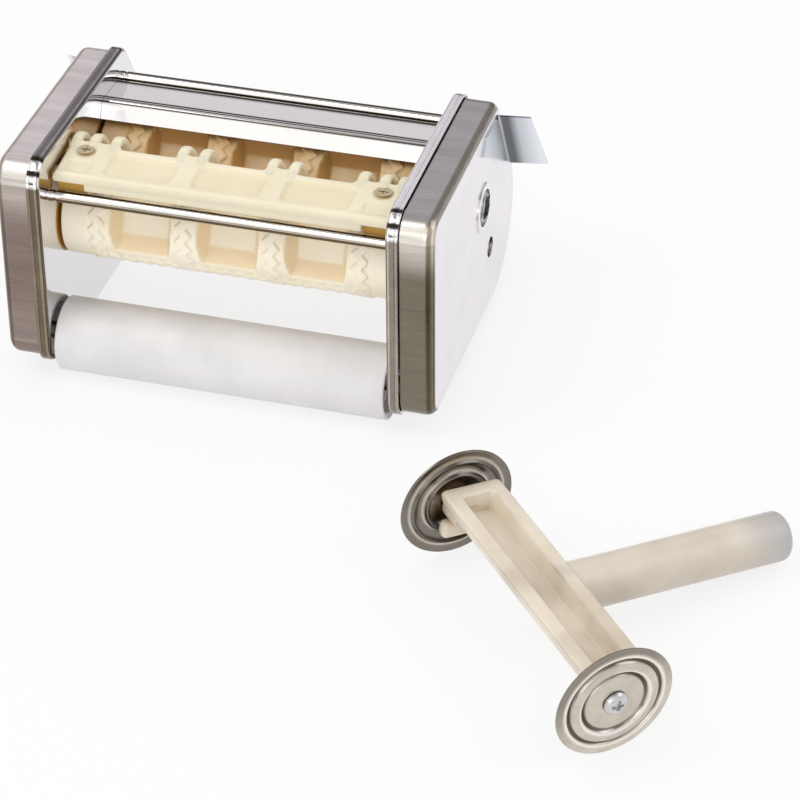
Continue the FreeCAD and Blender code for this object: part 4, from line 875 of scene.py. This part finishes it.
class RAVIOLI_OT_finishes(bpy.types.Operator):
    """Make every finish and give the frame's own pieces theirs"""
    bl_idname = "ravioli.finishes"
    bl_label = "Finishes"

    def execute(self, context):
        grain_group()
        handling_group()
        for name, values in STEELS.items():
            steel(name, *values)
        wing_steel()
        # The two covers are one steel; their different tones are painted reflections, as each faces the light
        # differently
        cover_steel("left", (0.25, 0.19, 0.168), (0.80, 0.735, 0.71),
                    [(-0.056, 0.034), (-0.04, 0.017), (-0.015, 0.012), (0.006, 0.0), (0.031, 0.03)])
        cover_steel("right", (0.19, 0.17, 0.13), (0.46, 0.445, 0.43),
                    [(-0.056, 0.03), (-0.045, 0.012), (-0.03, 0.0), (0.012, 0.0), (0.034, 0.042)])
        # Likewise the two frames: the left top's dark and the right top's pale tone are painted reflections
        frame_steel("left", (0.155, 0.125, 0.092), (0.19, 0.175, 0.17))
        frame_steel("right", (0.27, 0.235, 0.20), (0.83, 0.80, 0.82))
        rod_steel()
        sheet_steel()
        self.mould_plastics(context.scene.ravioli_colours)
        for finish, names in NODE_FINISHES.items():
            for name in names:
                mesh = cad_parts[name].data
                mesh.materials.clear()
                mesh.materials.append(bpy.data.materials[finish])
        return {"FINISHED"}

    def mould_plastics(self, colours):
        """The five plastics."""
        white = tuple(colours.white)
        dim = tuple(0.9 * c for c in white)
        moulded("cream comb", tuple(colours.cream), tuple(colours.cream_shade), painted_shade_and_grey=(0.66, 0.40, 0.08),
                painted_fold_shade=(0.60, 0.36, 0.10), rough=0.42, gloss=0.25, glow=0.12, reach=0.010)
        moulded("front drum cream", (0.98, 0.90, 0.73), (0.95, 0.86, 0.66), painted_shade_and_grey=(0.94, 0.76, 0.50),
                painted_fold_shade=(0.78, 0.42, 0.06), rough=0.42, gloss=0.2, glow=0.12, reach=0.009)
        # The rear drum is the same cream plastic; its brown is painted shade, as it lies in shade under the
        # sheet
        moulded("rear drum cream", (0.60, 0.39, 0.17), (0.72, 0.54, 0.32), painted_shade_and_grey=(0.50, 0.28, 0.09),
                painted_fold_shade=(0.46, 0.24, 0.06), rough=0.36, gloss=0.3, glow=0.12, reach=0.020)
        moulded("white roller", white, dim, painted_shade_and_grey=dim, painted_fold_shade=dim, rough=0.46, gloss=0.1, glow=0.05,
                reach=0.010)
        moulded("ivory handle", tuple(colours.ivory), (0.60, 0.51, 0.40), painted_shade_and_grey=(0.44, 0.425, 0.415),
                painted_fold_shade=(0.56, 0.38, 0.18), rough=0.36, gloss=0.3, glow=0.15, reach=0.014)


class RAVIOLI_OT_drums(bpy.types.Operator):
    """Make the two moulding drums with their pockets and zigzag ribs"""
    bl_idname = "ravioli.drums"
    bl_label = "Moulding drums"

    def execute(self, context):
        for place, axis, hand, bore in (("front", FRONT_AXIS, 1, 5.0), ("rear", REAR_AXIS, -1, 6.0)):
            roller = place + "_roller"
            piece(place + "_drum", [drum(context.scene.ravioli_sizes, axis, hand, bore)], roller,
                  place + " drum cream", roller, 50)
        return {"FINISHED"}


class RAVIOLI_OT_comb(bpy.types.Operator):
    """Make the ribbed dough comb with its hooked fingers"""
    bl_idname = "ravioli.comb"
    bl_label = "Dough comb"

    def execute(self, context):
        piece("moulded_comb", comb_skins(context.scene.ravioli_sizes), "machine", "cream comb",
              "dough_comb", 60)
        return {"FINISHED"}


class RAVIOLI_OT_cheeks(bpy.types.Operator):
    """Make the pressed cheeks with their rounded, creased flanges"""
    bl_idname = "ravioli.cheeks"
    bl_label = "Cheeks"

    def execute(self, context):
        for side, s in (("left", -1), ("right", 1)):
            piece(side + "_cheek", [cheek_skin(s)], "machine", side + " frame steel",
                  side + "_side_frame", 40)
        return {"FINISHED"}


class RAVIOLI_OT_rods(bpy.types.Operator):
    """Make the chromed rods, the bent sheet and the white guide roller"""
    bl_idname = "ravioli.rods"
    bl_label = "Rods, sheet and guide roller"

    def execute(self, context):
        rods = (("front_rod", (13.5, 78.8), 2.6, "front_tie_rod"),
                ("top_rod", (104.5, 87.2), 2.6, "top_tie_rod"),
                ("guide_axle", GUIDE_AXIS, 4.0, "guide_roller_axle"))
        for name, centre, radius, stands_for in rods:
            piece(name, [rod_skin(centre, radius)], "machine", "rod steel", stands_for)
        piece("drum_cover_sheet", [sheet_skin()], "machine", "sheet steel",
              "rear_cover_sheet", 50)
        piece("white_guide_roller", [guide_skin()], "guide_roller", "white roller",
              "guide_roller")
        return {"FINISHED"}


class RAVIOLI_OT_cutter(bpy.types.Operator):
    """Make the loose cutter: its handle, wheels and screws"""
    bl_idname = "ravioli.cutter"
    bl_label = "Dough cutter"

    def execute(self, context):
        skins = [cutter_bar(), cutter_grip()] + cutter_hub(-1) + cutter_hub(1)
        piece("cutter_moulding", skins, "cutter", "ivory handle", "cutter_handle", 50)
        for side, s in (("left", -1), ("right", 1)):
            wheel = "cutter_" + side + "_wheel"
            piece(side + "_cutter_disc", [wheel_skin(s)], wheel, "wheel steel", wheel, 45)
            piece(side + "_wheel_screw", pan_head(s), "cutter", "bright screw",
                  "cutter_" + side + "_screw", 45)
        return {"FINISHED"}


# Camera of the photograph, found for the machine's own drawing: turns in degrees, distances in millimetres
CAMERA_TURN = 16.12
CAMERA_DOWN = 34.86
CAMERA_ROLL = -0.45
CAMERA_AIM = (0.0, 50.0, 50.0)
CAMERA_OFF = (65.289, -72.467, 1472.98)
CAMERA_LENS = 152.29

# Lamps, in metres and watts: name, place, size and power
LAMPS = (("key", (-0.9, -0.5, 1.5), 0.9, 7.5), ("fill", (1.3, 0.3, 1.1), 1.1, 4.0),
         ("low front", (0.1, -1.6, 0.35), 1.0, 3.0))
LAMPS_AIM = (0.0, -0.1, -0.03)


class RAVIOLI_OT_stage(bpy.types.Operator):
    """Set the pale floor, the soft light and the camera"""
    bl_idname = "ravioli.stage"
    bl_label = "Floor, light and camera"

    def execute(self, context):
        self.add_floor(context.scene)
        self.add_world(context.scene)
        self.add_lamps(context.scene)
        self.add_camera(context.scene)
        context.scene.view_settings.view_transform = "Standard"
        return {"FINISHED"}

    def add_floor(self, scene):
        """A wide pale floor under the guide roller; the camera and reflections see it nearly white."""
        size, seen_glow = 6.0, 0.8
        mesh = bpy.data.meshes.new("studio_floor")
        corners = [(x * size, y * size, FLOOR_Z) for x, y in ((-1, -1), (1, -1), (1, 1), (-1, 1))]
        mesh.from_pydata(corners, [], [(0, 1, 2, 3)])
        floor = bpy.data.objects.new("studio_floor", mesh)
        scene.collection.objects.link(floor)
        tree, shader = start("pale floor", {"Base Color": (0.86, 0.86, 0.865), "Roughness": 0.9})
        glow = node(tree, "ShaderNodeEmission", (0, -300), {"Color": WHITE})
        path = node(tree, "ShaderNodeLightPath", (-600, 300)).outputs
        seen = maths(tree, "MAXIMUM", (-400, 300), path["Is Camera Ray"], path["Is Glossy Ray"])
        share = maths(tree, "MULTIPLY", (-200, 300), seen, seen_glow)
        inputs = {0: share, 1: shader.outputs[0], 2: glow.outputs[0]}
        mixed = node(tree, "ShaderNodeMixShader", (300, 0), inputs)
        feed(tree, tree.nodes["Material Output"].inputs["Surface"], mixed.outputs[0])
        mesh.materials.append(bpy.data.materials["pale floor"])

    def add_world(self, scene):
        """White to the camera. Reflections see a light front, a dark ceiling, a grey back and light sides."""
        world = bpy.data.worlds.new("studio")
        world.use_nodes = True
        scene.world = world
        tree = world.node_tree
        where = node(tree, "ShaderNodeTexCoord", (-1400, 0)).outputs["Generated"]
        parts = split(tree, where, (-1200, 0))
        share = remap(tree, turn_over(tree, parts, (-1000, -200)), 0.0, 1.0, (-700, -200), 0.0, math.pi)
        dark, dim = (0.05, 0.045, 0.045), (0.34, 0.33, 0.33)
        light, grey, pale = (1.0, 0.99, 0.97), (0.58, 0.56, 0.58), (0.74, 0.72, 0.76)
        bands = [(0.0, dark), (0.03, dark), (0.07, light), (0.34, light), (0.39, dim), (0.52, dim),
                 (0.60, grey), (0.82, pale), (0.90, pale), (0.96, dark)]
        room = colour_bands(tree, share, bands, (-550, -200))
        aside = maths(tree, "ABSOLUTE", (-1000, 300), parts["X"])
        aside = remap(tree, aside, 0.0, 1.0, (-700, 300), 0.45, 0.8)
        sides = mix(tree, aside, room, (0.88, 0.88, 0.93), (-300, -100))
        height = remap(tree, parts["Z"], 0.0, 1.0, (-700, 100), -0.4, 0.8)
        soft = mix(tree, height, (0.86, 0.86, 0.86), (0.84, 0.84, 0.84), (-400, 100))
        path = node(tree, "ShaderNodeLightPath", (-600, 600)).outputs
        for_gloss = mix(tree, path["Is Glossy Ray"], soft, sides, (-100, 0))
        for_camera = mix(tree, path["Is Camera Ray"], for_gloss, WHITE, (100, 100))
        feed(tree, tree.nodes["Background"].inputs["Color"], for_camera)

    def add_lamps(self, scene):
        """Three soft lamps: a strong one high at the left front, one at the right and one low in front."""
        for name, place, size, power in LAMPS:
            lamp = bpy.data.lights.new(name, "AREA")
            lamp.size = size
            lamp.energy = power
            obj = bpy.data.objects.new(name, lamp)
            obj.location = place
            aim = Vector(LAMPS_AIM) - Vector(place)
            obj.rotation_euler = aim.to_track_quat("-Z", "Y").to_euler()
            scene.collection.objects.link(obj)

    def add_camera(self, scene):
        """The photograph's camera, carried from the machine's drawing into the leaned frame."""
        turn, down, roll = (math.radians(q) for q in (CAMERA_TURN, CAMERA_DOWN, CAMERA_ROLL))
        ahead = np.array([-math.sin(turn) * math.cos(down), math.cos(turn) * math.cos(down), -math.sin(down)])
        level = np.array([math.cos(turn), math.sin(turn), 0.0])
        right, up = turned(level, np.cross(level, ahead), -roll)
        eye = np.array(CAMERA_AIM) + right * CAMERA_OFF[0] + up * CAMERA_OFF[1] - ahead * CAMERA_OFF[2]
        pose, origin = np.eye(4), leaned([0.0, 0.0, 0.0])
        pose[:3, :3] = np.stack([(leaned(q) - origin) * 1000 for q in (right, up, -ahead)], axis=-1)
        pose[:3, 3] = leaned(eye)
        camera = bpy.data.cameras.new("photo camera")
        camera.lens = CAMERA_LENS
        camera.sensor_width = 36.0
        camera.clip_start = 0.05
        camera.clip_end = 50.0
        obj = bpy.data.objects.new("photo camera", camera)
        obj.matrix_world = Matrix(pose.tolist())
        scene.collection.objects.link(obj)
        scene.camera = obj


STEPS = (RAVIOLI_OT_finishes, RAVIOLI_OT_drums, RAVIOLI_OT_comb, RAVIOLI_OT_cheeks, RAVIOLI_OT_rods,
         RAVIOLI_OT_cutter, RAVIOLI_OT_stage)


class RAVIOLI_PT_panel(bpy.types.Panel):
    """Lists the sizes, the colours and the steps"""
    bl_idname = "RAVIOLI_PT_panel"
    bl_label = "Ravioli Maker"
    bl_space_type = "VIEW_3D"
    bl_region_type = "UI"
    bl_category = "Ravioli Maker"

    def draw(self, context):
        for group in (context.scene.ravioli_sizes, context.scene.ravioli_colours):
            for name in group.__annotations__:
                self.layout.prop(group, name)
        for step in STEPS:
            self.layout.operator(step.bl_idname)


CLASSES = (RavioliSizes, RavioliColours, *STEPS, RAVIOLI_PT_panel)


def register():
    """Adds the classes and the two groups of settings."""
    for cls in CLASSES:
        bpy.utils.register_class(cls)
    bpy.types.Scene.ravioli_sizes = bpy.props.PointerProperty(type=RavioliSizes)
    bpy.types.Scene.ravioli_colours = bpy.props.PointerProperty(type=RavioliColours)


def unregister():
    """Takes them away again."""
    del bpy.types.Scene.ravioli_sizes
    del bpy.types.Scene.ravioli_colours
    for cls in reversed(CLASSES):
        bpy.utils.unregister_class(cls)


def main():
    """Builds everything in order."""
    register()
    bpy.ops.ravioli.finishes()
    bpy.ops.ravioli.drums()
    bpy.ops.ravioli.comb()
    bpy.ops.ravioli.cheeks()
    bpy.ops.ravioli.rods()
    bpy.ops.ravioli.cutter()
    bpy.ops.ravioli.stage()
    bpy.context.view_layer.update()


if __name__ == "__main__":
    main()
